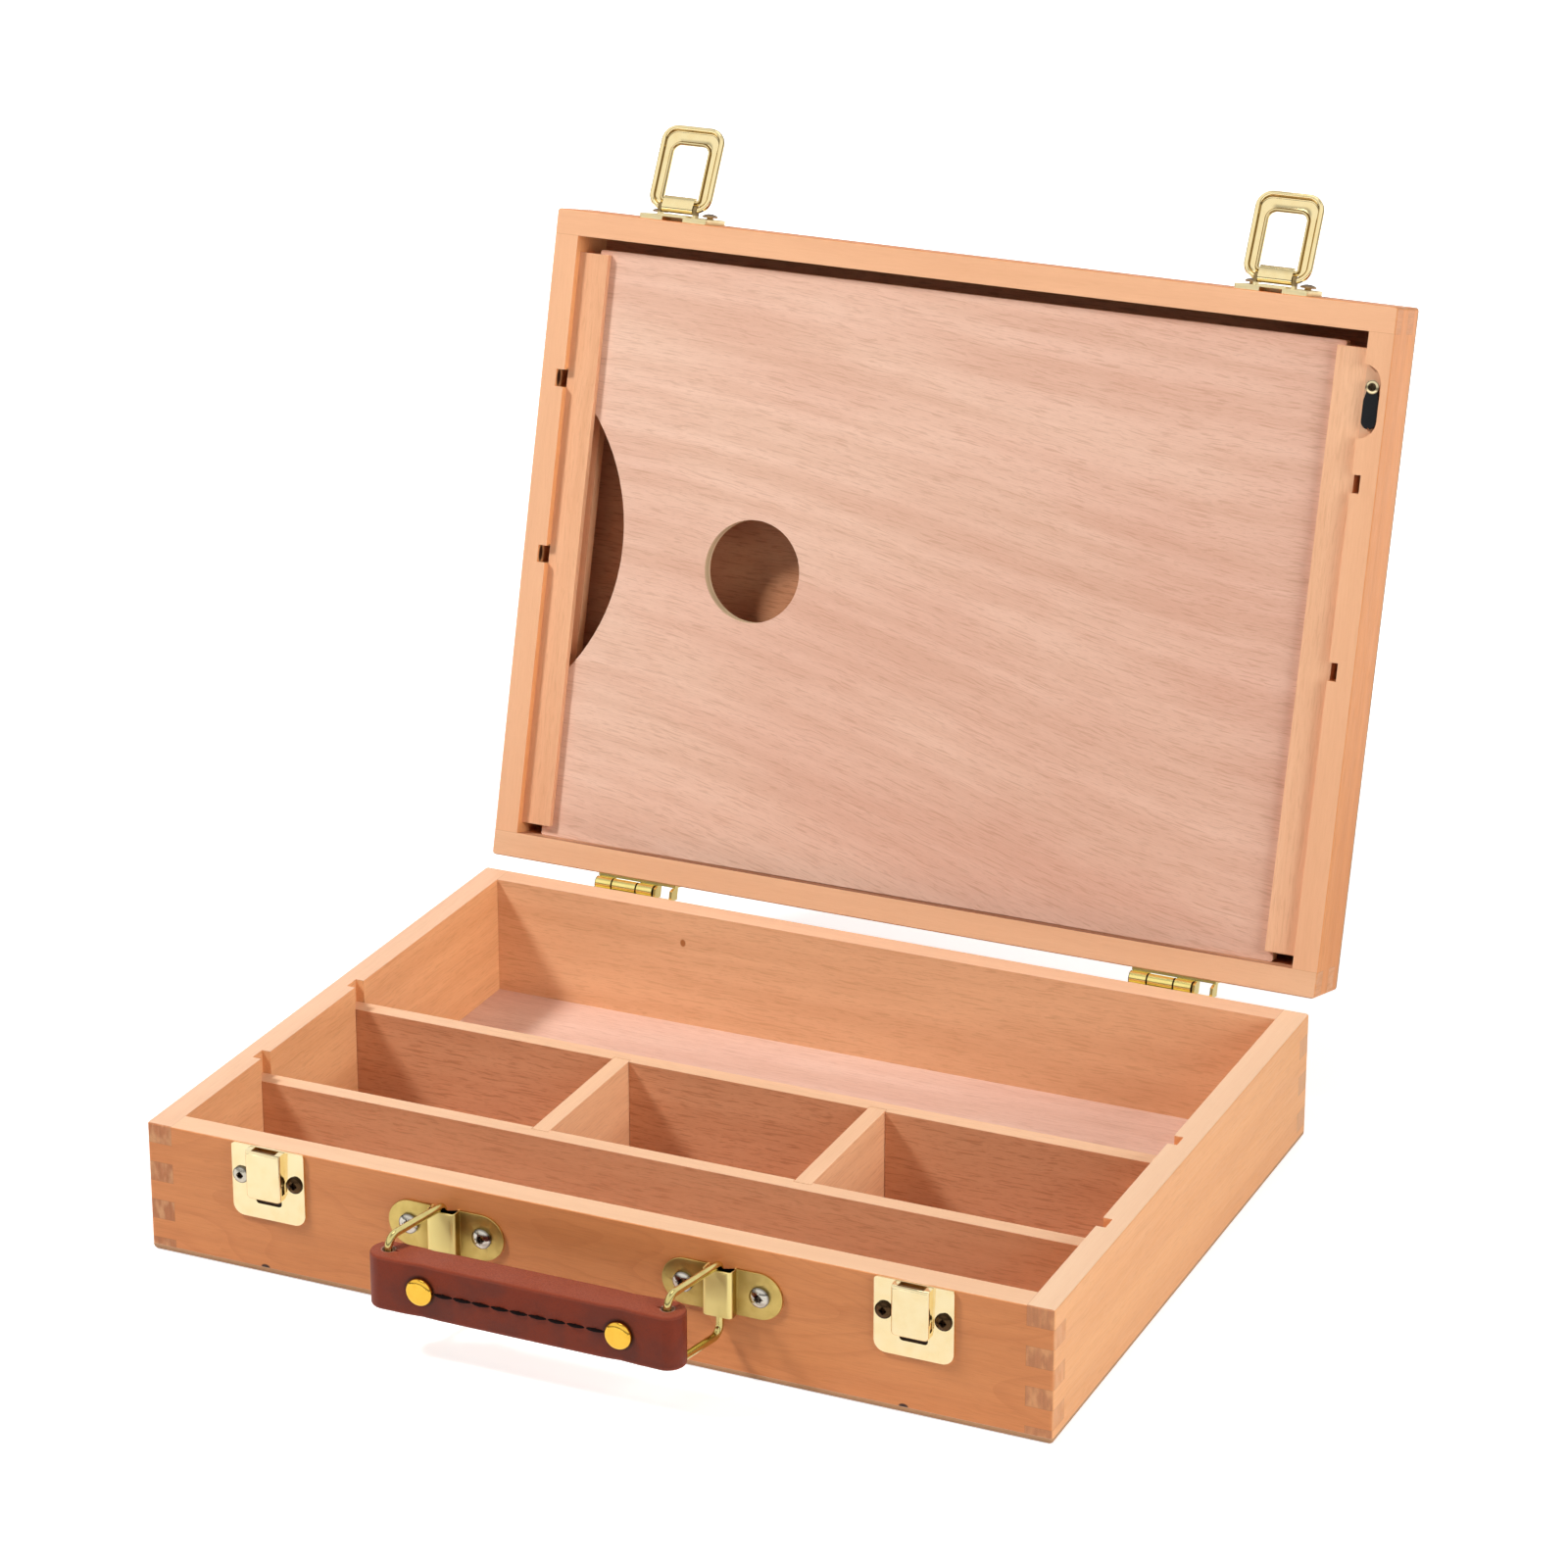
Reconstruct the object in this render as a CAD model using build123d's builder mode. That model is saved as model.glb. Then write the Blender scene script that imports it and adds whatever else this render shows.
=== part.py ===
from build123d import *
from collections import namedtuple
import math
import os

# Pochade box: a shallow finger-jointed beech box with a hinged lid. The base holds lift-out
# dividers, the lid holds a sliding palette. Brass furniture: two loop latches, a leather
# handle on two rings, two stop hinges and a turn button.
#
# Frame: origin at the centre of the base's underside, X to the right, Y to the back, Z up.
# The lid stands open at its stop. Its pieces are drawn as they lie when it is closed, on
# planes that on_lid() then swings open about the hinge axis.

os.makedirs("parts", exist_ok=True)

# ---- Driving dimensions, in millimetres ---------------------------------------------------

# Carcass
box_width = 400.0
box_depth = 300.0
base_height = 58.0
lid_height = 34.0
wall = 11.5
panel_thickness = 3.0
finger = 8.6
corner_radius = 1.5
panel_edge_radius = 2.2
rim_easing = 0.5
rim_gap = 0.4

# Divider slots and dividers
slot_width = 8.0
slot_depth = 4.0
slot_distances = (77.0, 158.3)  # slot centres, from the front of the box
divider_thickness = 7.5
divider_drop = 10.4  # top edge below the rim
divider_end_gap = 0.3
cross_spacing = 119.0
cross_dado_depth = 2.0
cross_dado_width = 8.0

# Hinges
open_angle = 105.0
hinge_spacing = 261.0
leaf_thickness = 1.2
leaf_height = 18.0
leaf_inset = 0.6  # from the rim to the leaf's edge
knuckle_radius = 3.0
middle_knuckle = 12.0
outer_knuckle = 8.2
knuckle_gap = 0.3
barrel_gap = 0.2  # between a barrel and the leaf that folds over it
hinge_pin_radius = 1.25
pin_clearance = 0.05
stop_width = 9.6
stop_sheet = 1.3
stop_reach = 2.5  # past the hinge axis
stop_gap = 0.3

# Palette and its runners
runner_width = 14.4
runner_drop = 4.0  # runner's face below the lid's rim
runner_lip = 3.3
runner_back = 6.0
runner_groove = 6.3
runner_top_gap = 7.4
runner_bottom_gap = 5.0
palette_thickness = 6.0
palette_clearance = 0.2
palette_left_gap = 8.9  # from the lid's inner wall to the palette's edge
palette_right_gap = 11.5
palette_corner = 1.0
palette_top_gap = 5.3
thumb_radius = 23.4
thumb_place = (-88.0, 153.0)  # across from the middle, back from the lid's front
arc_radius = 94.0
arc_bite = 26.2  # how far the arc comes in from the palette's left edge
arc_distance = 150.4  # arc centre, back from the lid's front

# Turn button
recess_radius = 8.0
recess_length = 32.0
recess_distance = 41.5  # recess centre, back from the lid's front
recess_depth = 3.4
button_length = 21.8
button_width = 7.0
button_thickness = 2.2
button_pivot_distance = 35.0  # back from the lid's front
button_pivot_inset = 4.2  # outwards from the stile's inner face
button_float = 0.2
button_chamfer = 0.4
button_notch_radius = 0.8
button_hole_radius = 1.65

# Catch plates on the base
latch_spacing = 285.0
sheet = 1.2
catch_width = 33.5
catch_height = 32.0
catch_corner = 5.0
catch_rim_corner = 1.25  # at the end next to the rim
catch_inset = 0.3
hood_width = 16.0
hood_height = 21.5
hood_rise = 6.0
hood_drop = 0.5  # hood's top below the rim
hood_rounding = 1.6
hood_corner = 2.0
hood_slot_width = 11.0
hood_slot_depth = 3.6
hood_window_width = 2.4
hood_window_height = 4.4
lance_width = 12.0  # opening left below the hood where its sheet was cut free
lance_drop = 3.6
lance_corner = 1.5
latch_screw_offset = 12.5
latch_screw_drop = 14.0

# Latch loops and their plates on the lid
loop_plate_height = 25.0
loop_plate_inset = 0.5
loop_hood_width = 13.0
loop_hood_rise = 3.0
loop_hood_length = 10.0
loop_hood_slot = 10.2
pivot_rise = 6.3  # above the lid's rim, with the lid closed
pivot_standoff = 6.0  # out from the lid's front face
latch_pin_radius = 1.2
loop_knuckle_radius = 2.4
loop_knuckle_width = 15.4
ear_radius = 2.0
ear_sheet = 1.4
ear_gap = 0.3
loop_width = 31.0
loop_thickness = 3.2
loop_corner = 7.5
loop_reach = 38.5  # pivot to the far edge
loop_overrun = 1.5  # past the pivot on the near side
window_width = 17.5
window_near = 4.0
window_length = 25.6
window_corner = 3.5
loop_outer_rim = 1.5
loop_inner_rim = 1.3
loop_channel = 1.9
loop_rounding = 1.1
loop_angle = 105.0

# Handle brackets, rings and handle
bracket_spacing = 122.0
bracket_width = 52.0
bracket_height = 20.0
bracket_centre = 38.0
channel_width = 13.0
channel_rise = 6.0
channel_sheet = 1.1
channel_rounding = 2.2
bracket_screw_offset = 16.5
ring_wire_radius = 1.65
ring_reach = 34.0
ring_inner_height = 27.2  # clear height between the ring's arms
ring_rest_angle = 11.0
ring_channel_gap = 0.35
ring_seat_gap = 0.2
handle_seat_gap = 0.35
ring_top_bend = 4.8
ring_tight_bend = 1.95
handle_thickness = 15.0
handle_height = 23.4
handle_hole_radius = 2.5
handle_slit_length = 9.0  # from the hole's centre to where the eye closes
handle_rounding = 1.3
rivet_spacing = 87.0
rivet_head_radius = 5.9
rivet_head_height = 2.4
rivet_shank_radius = 2.2
rivet_clearance = 0.1

# Screws: head radius, head height, shank radius, length under the head, cross recess
Screw = namedtuple("Screw", "head_radius head_height shank_radius length recess")
latch_screw = Screw(3.6, 1.7, 1.5, 11.0, 1.6)
bracket_screw = Screw(4.3, 2.4, 1.7, 11.0, 2.4)
hinge_screw = Screw(2.7, 1.0, 1.2, 10.0, 1.3)
button_screw = Screw(3.0, 0.8, 1.6, 12.0, 1.3)
screw_rim_share = 0.4  # of the head's height that is upright, below its dome
recess_slot_width = 0.8
recess_slot_depth = 0.7
screw_clearance = 0.05

# ---- Places that follow from the dimensions -----------------------------------------------

half_width = box_width / 2
half_depth = box_depth / 2
inner_width = box_width - 2 * wall
inner_depth = box_depth - 2 * wall
base_wall_height = base_height - panel_thickness
lid_wall_height = lid_height - panel_thickness
lid_rim = base_height + rim_gap
slot_places = [d - half_depth for d in slot_distances]
LEFT, RIGHT = -1, 1
SIDES = {"left": LEFT, "right": RIGHT}

front_face = Plane.XZ.offset(half_depth)
back_face = Plane(origin=(0, half_depth, 0), x_dir=(-1, 0, 0), z_dir=(0, 1, 0))

hinge_y = half_depth + leaf_thickness + barrel_gap + knuckle_radius
hinge_z = base_height + rim_gap / 2


def swing(y, z, angle):
    """The turn by angle degrees about the line along X through (y, z)."""
    return Location((0, y, z)) * Location((0, 0, 0), (angle, 0, 0)) * Location((0, -y, -z))


lid_open = swing(hinge_y, hinge_z, -open_angle)


def on_lid(plane):
    """A plane of the closed lid, carried to where it is with the lid open."""
    return Plane(lid_open * plane.location)


def base_level(depth):
    """The plane this far below the base's rim."""
    return Plane.XY.offset(base_height - depth)


def lid_level(depth):
    """The plane this far into the lid from its rim."""
    return on_lid(Plane.XY.offset(lid_rim + depth))


def save(builder, name):
    builder.part.label = name
    export_step(builder.part, f"parts/{name}.step")


# ---- Screws -------------------------------------------------------------------------------


def dome_middle(radius, rise):
    """The point of a shallow dome's outline halfway out, above the dome's rim."""
    sphere = (radius**2 + rise**2) / (2 * rise)
    return radius / 2, math.sqrt(sphere**2 - radius**2 / 4) - sphere + rise


def screw_shape(size):
    """One cross-head screw with its seat at the origin and its head along +Z."""
    rim = screw_rim_share * size.head_height
    middle_x, middle_rise = dome_middle(size.head_radius, size.head_height - rim)
    with BuildPart() as shape:
        with BuildSketch(Plane.XZ):
            with BuildLine():
                Polyline(
                    (0, size.head_height),
                    (0, -size.length),
                    (size.shank_radius, -size.length + size.shank_radius),
                    (size.shank_radius, 0),
                    (size.head_radius, 0),
                    (size.head_radius, rim),
                )
                ThreePointArc(
                    (size.head_radius, rim),
                    (middle_x, rim + middle_rise),
                    (0, size.head_height),
                )
            make_face()
        revolve(axis=Axis.Z)
        with BuildSketch(Plane.XY.offset(size.head_height)):
            Rectangle(2 * size.recess, recess_slot_width)
            Rectangle(recess_slot_width, 2 * size.recess)
        extrude(amount=-recess_slot_depth, mode=Mode.SUBTRACT)
    return shape.part


def screw_group(size, plane, spots):
    """Screws of one size, seated on a plane at these spots."""
    shape = screw_shape(size)
    with BuildPart() as group:
        with Locations(*[plane.location * Location((x, y, 0)) for x, y in spots]):
            add(shape)
    return group


# ---- Carcass ------------------------------------------------------------------------------

Half = namedtuple("Half", "level away wall_height first_finger envelope")


def rounded_block(level, away, height):
    """The outer shape of one half of the box, solid, with its edges eased."""
    rim = level(0)
    axis = Axis(rim.origin, rim.z_dir * away)
    with BuildPart() as block:
        with BuildSketch(rim):
            RectangleRounded(box_width, box_depth, corner_radius)
        extrude(amount=away * height)
        fillet(block.faces().sort_by(axis)[-1].edges(), panel_edge_radius)
        chamfer(block.faces().sort_by(axis)[0].edges(), rim_easing)
    return block.part


base_block = rounded_block(base_level, -1, base_height)
lid_block = rounded_block(lid_level, 1, lid_height)
base_half = Half(base_level, -1, base_wall_height, 0.0, base_block)
lid_half = Half(lid_level, 1, lid_wall_height, finger, lid_block)


def finger_spans(half):
    """Depths from the rim between which the side walls reach the box's corners."""
    spans = []
    start = half.first_finger
    while start < half.wall_height:
        spans.append((start, min(start + finger, half.wall_height)))
        start += 2 * finger
    return spans


def long_wall(half, y_side):
    """The front (-1) or back (+1) wall, notched at its ends for the side walls' fingers."""
    y = y_side * (half_depth - wall / 2)
    end = half_width - wall / 2
    with BuildPart() as board:
        with BuildSketch(half.level(0)):
            with Locations((0, y)):
                Rectangle(box_width, wall)
        extrude(amount=half.away * half.wall_height)
        for top, bottom in finger_spans(half):
            with BuildSketch(half.level(top)):
                with Locations((-end, y), (end, y)):
                    Rectangle(wall, wall)
            extrude(amount=half.away * (bottom - top), mode=Mode.SUBTRACT)
        add(half.envelope, mode=Mode.INTERSECT)
    return board.part


def side_wall(half, side):
    """The left or right wall, with its fingers and the two slots for the dividers."""
    x = side * (half_width - wall / 2)
    end = half_depth - wall / 2
    slot_x = side * (inner_width / 2 + slot_depth / 2)
    with BuildPart() as board:
        with BuildSketch(half.level(0)):
            with Locations((x, 0)):
                Rectangle(wall, inner_depth)
        extrude(amount=half.away * half.wall_height)
        for top, bottom in finger_spans(half):
            with BuildSketch(half.level(top)):
                with Locations((x, -end), (x, end)):
                    Rectangle(wall, wall)
            extrude(amount=half.away * (bottom - top))
        with BuildSketch(half.level(0)):
            with Locations(*[(slot_x, y) for y in slot_places]):
                Rectangle(slot_depth, slot_width)
        extrude(amount=half.away * half.wall_height, mode=Mode.SUBTRACT)
        add(half.envelope, mode=Mode.INTERSECT)
    return board.part


def panel(half):
    """The thin board glued over the walls of one half."""
    with BuildPart() as board:
        with BuildSketch(half.level(half.wall_height)):
            Rectangle(box_width, box_depth)
        extrude(amount=half.away * panel_thickness)
        add(half.envelope, mode=Mode.INTERSECT)
    return board


def pilot_holes(face, spots, size, seat):
    """Cuts the holes of a group of screws, whose heads sit this far out from the face."""
    with BuildSketch(face) as holes:
        with Locations(*spots):
            Circle(size.shank_radius + screw_clearance)
    extrude(holes.sketch, amount=seat - size.length - screw_clearance, mode=Mode.SUBTRACT)


# ---- Screw places, on the faces that carry them -------------------------------------------

latch_places = [side * latch_spacing / 2 for side in SIDES.values()]
bracket_places = [side * bracket_spacing / 2 for side in SIDES.values()]
hinge_places = [side * hinge_spacing / 2 for side in SIDES.values()]

hinge_half = middle_knuckle / 2 + knuckle_gap + outer_knuckle
leaf_right = hinge_half + knuckle_gap + stop_width
leaf_width = hinge_half + leaf_right
leaf_middle = (leaf_right - hinge_half) / 2


def pairs(places, offset, height):
    """Two spots at this height, one each side of every place."""
    return [(x + step, height) for x in places for step in (-offset, offset)]


catch_spots = pairs(latch_places, latch_screw_offset, base_height - latch_screw_drop)
bracket_spots = pairs(bracket_places, bracket_screw_offset, bracket_centre)
loop_plate_spots = pairs(latch_places, latch_screw_offset, lid_rim + latch_screw_drop)
hinge_screw_step = leaf_width / 4
back_hinge_places = [-(x + leaf_middle) for x in hinge_places]
leaf_offset = leaf_inset + leaf_height / 2
base_hinge_spots = pairs(back_hinge_places, hinge_screw_step, base_height - leaf_offset)
lid_hinge_spots = pairs(back_hinge_places, hinge_screw_step, lid_rim + leaf_offset)

# ---- Base walls and bottom ----------------------------------------------------------------

with BuildPart() as base_front_wall:
    add(long_wall(base_half, -1))
    pilot_holes(front_face, catch_spots, latch_screw, sheet)
    pilot_holes(front_face, bracket_spots, bracket_screw, sheet)
save(base_front_wall, "base_front_wall")

with BuildPart() as base_back_wall:
    add(long_wall(base_half, 1))
    pilot_holes(back_face, base_hinge_spots, hinge_screw, leaf_thickness)
save(base_back_wall, "base_back_wall")

for name, side in SIDES.items():
    with BuildPart() as base_side_wall:
        add(side_wall(base_half, side))
    save(base_side_wall, f"base_{name}_wall")

save(panel(base_half), "base_bottom_panel")

# ---- Dividers -----------------------------------------------------------------------------

divider_height = base_wall_height - divider_drop
cross_places = [side * cross_spacing / 2 for side in SIDES.values()]
divider_half = divider_thickness / 2

for name, y, inward in (("front", slot_places[0], 1), ("rear", slot_places[1], -1)):
    dado_y = y + inward * (divider_half - cross_dado_depth / 2)
    with BuildPart() as divider:
        with BuildSketch(base_level(divider_drop)):
            with Locations((0, y)):
                Rectangle(inner_width + 2 * (slot_depth - divider_end_gap), divider_thickness)
            with Locations(*[(x, dado_y) for x in cross_places]):
                Rectangle(cross_dado_width, cross_dado_depth, mode=Mode.SUBTRACT)
        extrude(amount=-divider_height)
    save(divider, f"divider_{name}")

cross_length = (
    slot_places[1] - slot_places[0] - divider_thickness
    + 2 * (cross_dado_depth - divider_end_gap)
)
for name, x in zip(SIDES, cross_places):
    with BuildPart() as cross_divider:
        with BuildSketch(base_level(divider_drop)):
            with Locations((x, sum(slot_places) / 2)):
                Rectangle(divider_thickness, cross_length)
        extrude(amount=-divider_height)
    save(cross_divider, f"cross_divider_{name}")

# ---- Lid walls and panel ------------------------------------------------------------------

lid_front_face = on_lid(front_face)
lid_back_face = on_lid(back_face)
recess_place = (inner_width / 2, recess_distance - half_depth)
button_pivot = (inner_width / 2 + button_pivot_inset, button_pivot_distance - half_depth)
button_seat = recess_depth - button_float - button_thickness

with BuildPart() as lid_front_wall:
    add(long_wall(lid_half, -1))
    pilot_holes(lid_front_face, loop_plate_spots, latch_screw, sheet)
save(lid_front_wall, "lid_front_wall")

with BuildPart() as lid_back_wall:
    add(long_wall(lid_half, 1))
    pilot_holes(lid_back_face, lid_hinge_spots, hinge_screw, leaf_thickness)
save(lid_back_wall, "lid_back_wall")

with BuildPart() as lid_left_wall:
    add(side_wall(lid_half, LEFT))
save(lid_left_wall, "lid_left_wall")

with BuildPart() as lid_right_wall:
    add(side_wall(lid_half, RIGHT))
    with BuildSketch(lid_level(0)):
        with Locations(recess_place):
            SlotOverall(recess_length, 2 * recess_radius, rotation=90)
    extrude(amount=recess_depth, mode=Mode.SUBTRACT)
    with BuildSketch(lid_level(button_seat)):
        with Locations(button_pivot):
            Circle(button_screw.shank_radius + screw_clearance)
    extrude(amount=button_screw.length + screw_clearance, mode=Mode.SUBTRACT)
save(lid_right_wall, "lid_right_wall")

save(panel(lid_half), "lid_panel")

# ---- Palette and runners ------------------------------------------------------------------

palette_drop = runner_drop + runner_lip + palette_clearance
groove_height = palette_thickness + 2 * palette_clearance
runner_length = inner_depth - runner_top_gap - runner_bottom_gap
runner_y = (runner_top_gap - runner_bottom_gap) / 2
runner_height = runner_lip + groove_height + runner_back

for name, side in SIDES.items():
    x = side * (inner_width / 2 - runner_width / 2)
    groove_x = side * (inner_width / 2 - runner_width + runner_groove / 2)
    with BuildPart() as runner:
        with BuildSketch(lid_level(runner_drop)):
            with Locations((x, runner_y)):
                Rectangle(runner_width, runner_length)
        extrude(amount=runner_height)
        with BuildSketch(lid_level(runner_drop + runner_lip)):
            with Locations((groove_x, runner_y)):
                Rectangle(runner_groove, runner_length)
        extrude(amount=groove_height, mode=Mode.SUBTRACT)
    save(runner, f"runner_{name}")

palette_left = palette_left_gap - inner_width / 2
palette_right = inner_width / 2 - palette_right_gap
palette_length = inner_depth - palette_top_gap - palette_clearance
palette_y = (palette_top_gap - palette_clearance) / 2
arc_x = palette_left + arc_bite - arc_radius

with BuildPart() as palette:
    with BuildSketch(lid_level(palette_drop)):
        with Locations(((palette_left + palette_right) / 2, palette_y)):
            RectangleRounded(palette_right - palette_left, palette_length, palette_corner)
        with Locations((thumb_place[0], thumb_place[1] - half_depth)):
            Circle(thumb_radius, mode=Mode.SUBTRACT)
        with Locations((arc_x, arc_distance - half_depth)):
            Circle(arc_radius, mode=Mode.SUBTRACT)
    extrude(amount=palette_thickness)
save(palette, "palette")

# ---- Turn button --------------------------------------------------------------------------

with BuildPart() as turn_button:
    with BuildSketch(lid_level(button_seat)):
        with Locations((button_pivot[0], button_pivot[1] + (button_length - button_width) / 2)):
            SlotOverall(button_length, button_width, rotation=90)
        with Locations(button_pivot):
            Circle(button_hole_radius, mode=Mode.SUBTRACT)
        with Locations((button_pivot[0], button_pivot[1] + button_length - button_width / 2)):
            Circle(button_notch_radius, mode=Mode.SUBTRACT)
    extrude(amount=button_thickness)
    button_top = turn_button.faces().sort_by(Axis((0, 0, 0), lid_level(0).z_dir))[0]
    chamfer(button_top.edges(), button_chamfer)
save(turn_button, "turn_button")

button_face = lid_level(button_seat)
button_head = Plane(origin=button_face.origin, x_dir=button_face.x_dir, z_dir=-button_face.z_dir)
button_screw_spot = (button_pivot[0], -button_pivot[1])
save(screw_group(button_screw, button_head, [button_screw_spot]), "turn_button_screw")

# ---- Hinges -------------------------------------------------------------------------------


def knuckle(end_plane, length, web_low, web_high):
    """A barrel about the hinge axis, with the sheet that ties it to its leaf."""
    with BuildSketch(end_plane) as ring_and_web:
        with Locations((hinge_y, hinge_z)):
            Circle(knuckle_radius)
        with Locations(((half_depth + hinge_y) / 2, hinge_z + (web_low + web_high) / 2)):
            Rectangle(hinge_y - half_depth, web_high - web_low)
    extrude(ring_and_web.sketch, amount=length)
    with BuildSketch(end_plane) as bore:
        with Locations((hinge_y, hinge_z)):
            Circle(hinge_pin_radius + pin_clearance)
    extrude(bore.sketch, amount=length, mode=Mode.SUBTRACT)


# The stop's far corner meets the base leaf, less the gap, when the lid stands open. Its near
# corner is cut off, so that it turns past the same leaf with the same gap.
open_sine = math.sin(math.radians(open_angle))
open_cosine = math.cos(math.radians(open_angle))
stop_turn_radius = hinge_y - half_depth - leaf_thickness - stop_gap
stop_low = (-stop_turn_radius - stop_reach * open_cosine) / open_sine
stop_cut = math.sqrt(stop_turn_radius**2 - stop_low**2)
stop_high = knuckle_radius + leaf_thickness
stop_front = hinge_y - stop_turn_radius

for name, place, back_place in zip(SIDES, hinge_places, back_hinge_places):
    with BuildPart() as base_leaf:
        with BuildSketch(back_face):
            with Locations((back_place, base_height - leaf_offset)):
                Rectangle(leaf_width, leaf_height)
        extrude(amount=leaf_thickness)
        knuckle(Plane.YZ.offset(place - middle_knuckle / 2), middle_knuckle,
                -knuckle_radius, leaf_thickness - knuckle_radius)
        with BuildSketch(back_face):
            with Locations(*pairs([back_place], hinge_screw_step, base_height - leaf_offset)):
                Circle(hinge_screw.shank_radius + screw_clearance)
        extrude(amount=leaf_thickness, mode=Mode.SUBTRACT)
    save(base_leaf, f"hinge_base_leaf_{name}")

    with BuildPart() as lid_leaf:
        with BuildSketch(lid_back_face):
            with Locations((back_place, lid_rim + leaf_offset)):
                Rectangle(leaf_width, leaf_height)
        extrude(amount=leaf_thickness)
        for start in (place - hinge_half, place + middle_knuckle / 2 + knuckle_gap):
            knuckle(on_lid(Plane.YZ.offset(start)), outer_knuckle,
                    knuckle_radius - leaf_thickness, knuckle_radius)
        stop_left = place + hinge_half + knuckle_gap
        for start in (stop_left, stop_left + stop_width - stop_sheet):
            with BuildSketch(on_lid(Plane.YZ.offset(start))):
                with BuildLine():
                    Polyline(
                        (half_depth, hinge_z + stop_high),
                        (hinge_y + stop_reach, hinge_z + stop_high),
                        (hinge_y + stop_reach, hinge_z + stop_low),
                        (hinge_y - stop_cut, hinge_z + stop_low),
                        (stop_front, hinge_z),
                        (stop_front, lid_rim + leaf_inset),
                        (half_depth, lid_rim + leaf_inset),
                        close=True,
                    )
                make_face()
            extrude(amount=stop_sheet)
        with BuildSketch(lid_back_face):
            with Locations(*pairs([back_place], hinge_screw_step, lid_rim + leaf_offset)):
                Circle(hinge_screw.shank_radius + screw_clearance)
        extrude(amount=leaf_thickness, mode=Mode.SUBTRACT)
    save(lid_leaf, f"hinge_lid_leaf_{name}")

with BuildPart() as hinge_pins:
    for place in hinge_places:
        with BuildSketch(Plane.YZ.offset(place - hinge_half)):
            with Locations((hinge_y, hinge_z)):
                Circle(hinge_pin_radius)
        extrude(amount=2 * hinge_half)
save(hinge_pins, "hinge_pins")

base_leaf_face = back_face.offset(leaf_thickness)
lid_leaf_face = lid_back_face.offset(leaf_thickness)
save(screw_group(hinge_screw, base_leaf_face, base_hinge_spots), "hinge_base_screws")
save(screw_group(hinge_screw, lid_leaf_face, lid_hinge_spots), "hinge_lid_screws")

# ---- Catch plates -------------------------------------------------------------------------

hood_top = base_height - hood_drop
hood_bottom = hood_top - hood_height
hood_middle = (hood_top + hood_bottom) / 2
hood_axis_y = -half_depth - hood_rise / 2
hood_window_z = hood_bottom + sheet + hood_window_height

for name, x in zip(SIDES, latch_places):
    with BuildPart() as catch_plate:
        with BuildSketch(front_face) as outline:
            with Locations((x, base_height - catch_inset)):
                Rectangle(catch_width, catch_height, align=(Align.CENTER, Align.MAX))
            fillet(outline.vertices().group_by(Axis.Y)[0], catch_corner)
            fillet(outline.vertices().group_by(Axis.Y)[-1], catch_rim_corner)
        extrude(amount=sheet)
        with BuildSketch(front_face) as hood:
            with Locations((x, hood_middle)):
                Rectangle(hood_width, hood_height)
            fillet(hood.vertices().group_by(Axis.Y)[0], hood_corner)
        extrude(amount=hood_rise)
        fillet(catch_plate.faces().sort_by(Axis.Y)[0].edges(), hood_rounding)
        with BuildSketch(front_face):
            with Locations((x, hood_bottom)):
                Rectangle(hood_width - 2 * sheet, hood_height - sheet,
                          align=(Align.CENTER, Align.MIN))
        extrude(amount=hood_rise - sheet, mode=Mode.SUBTRACT)
        with BuildSketch(front_face) as lance:
            with Locations((x, hood_bottom - lance_drop)):
                Rectangle(lance_width, lance_drop + sheet, align=(Align.CENTER, Align.MIN))
            fillet(lance.vertices().group_by(Axis.Y)[0], lance_corner)
        extrude(amount=sheet, mode=Mode.SUBTRACT)
        with BuildSketch(Plane.XY.offset(hood_top - sheet)):
            with Locations((x, hood_axis_y)):
                Rectangle(hood_slot_width, hood_slot_depth)
        extrude(amount=sheet, mode=Mode.SUBTRACT)
        with BuildSketch(Plane.YZ.offset(x - hood_width / 2)):
            with Locations((hood_axis_y, hood_window_z)):
                Rectangle(hood_window_width, hood_window_height)
        extrude(amount=hood_width, mode=Mode.SUBTRACT)
        with BuildSketch(front_face):
            with Locations(*pairs([x], latch_screw_offset, base_height - latch_screw_drop)):
                Circle(latch_screw.shank_radius + screw_clearance)
        extrude(amount=sheet, mode=Mode.SUBTRACT)
    save(catch_plate, f"catch_plate_{name}")

save(screw_group(latch_screw, front_face.offset(sheet), catch_spots), "catch_screws")

# ---- Loop plates and latch loops ----------------------------------------------------------

pivot_y = -half_depth - pivot_standoff
pivot_z = lid_rim + pivot_rise
loop_open = lid_open * swing(pivot_y, pivot_z, -loop_angle)
ear_start = loop_knuckle_width / 2 + ear_gap


def on_loop(plane):
    """A plane of an engaged loop, carried to where it is with the loop swung open."""
    return Plane(loop_open * plane.location)


loop_inner_side = front_face.offset(pivot_standoff - loop_thickness / 2)
loop_top = pivot_z + loop_overrun
loop_length = loop_reach + loop_overrun
plate_low = lid_rim + loop_plate_inset
window_top = pivot_z - window_near
window_bottom = window_top - window_length
ear_slot = ear_sheet + 2 * ear_gap
ear_slot_radius = math.hypot(loop_thickness / 2, ear_radius) + ear_gap

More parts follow.
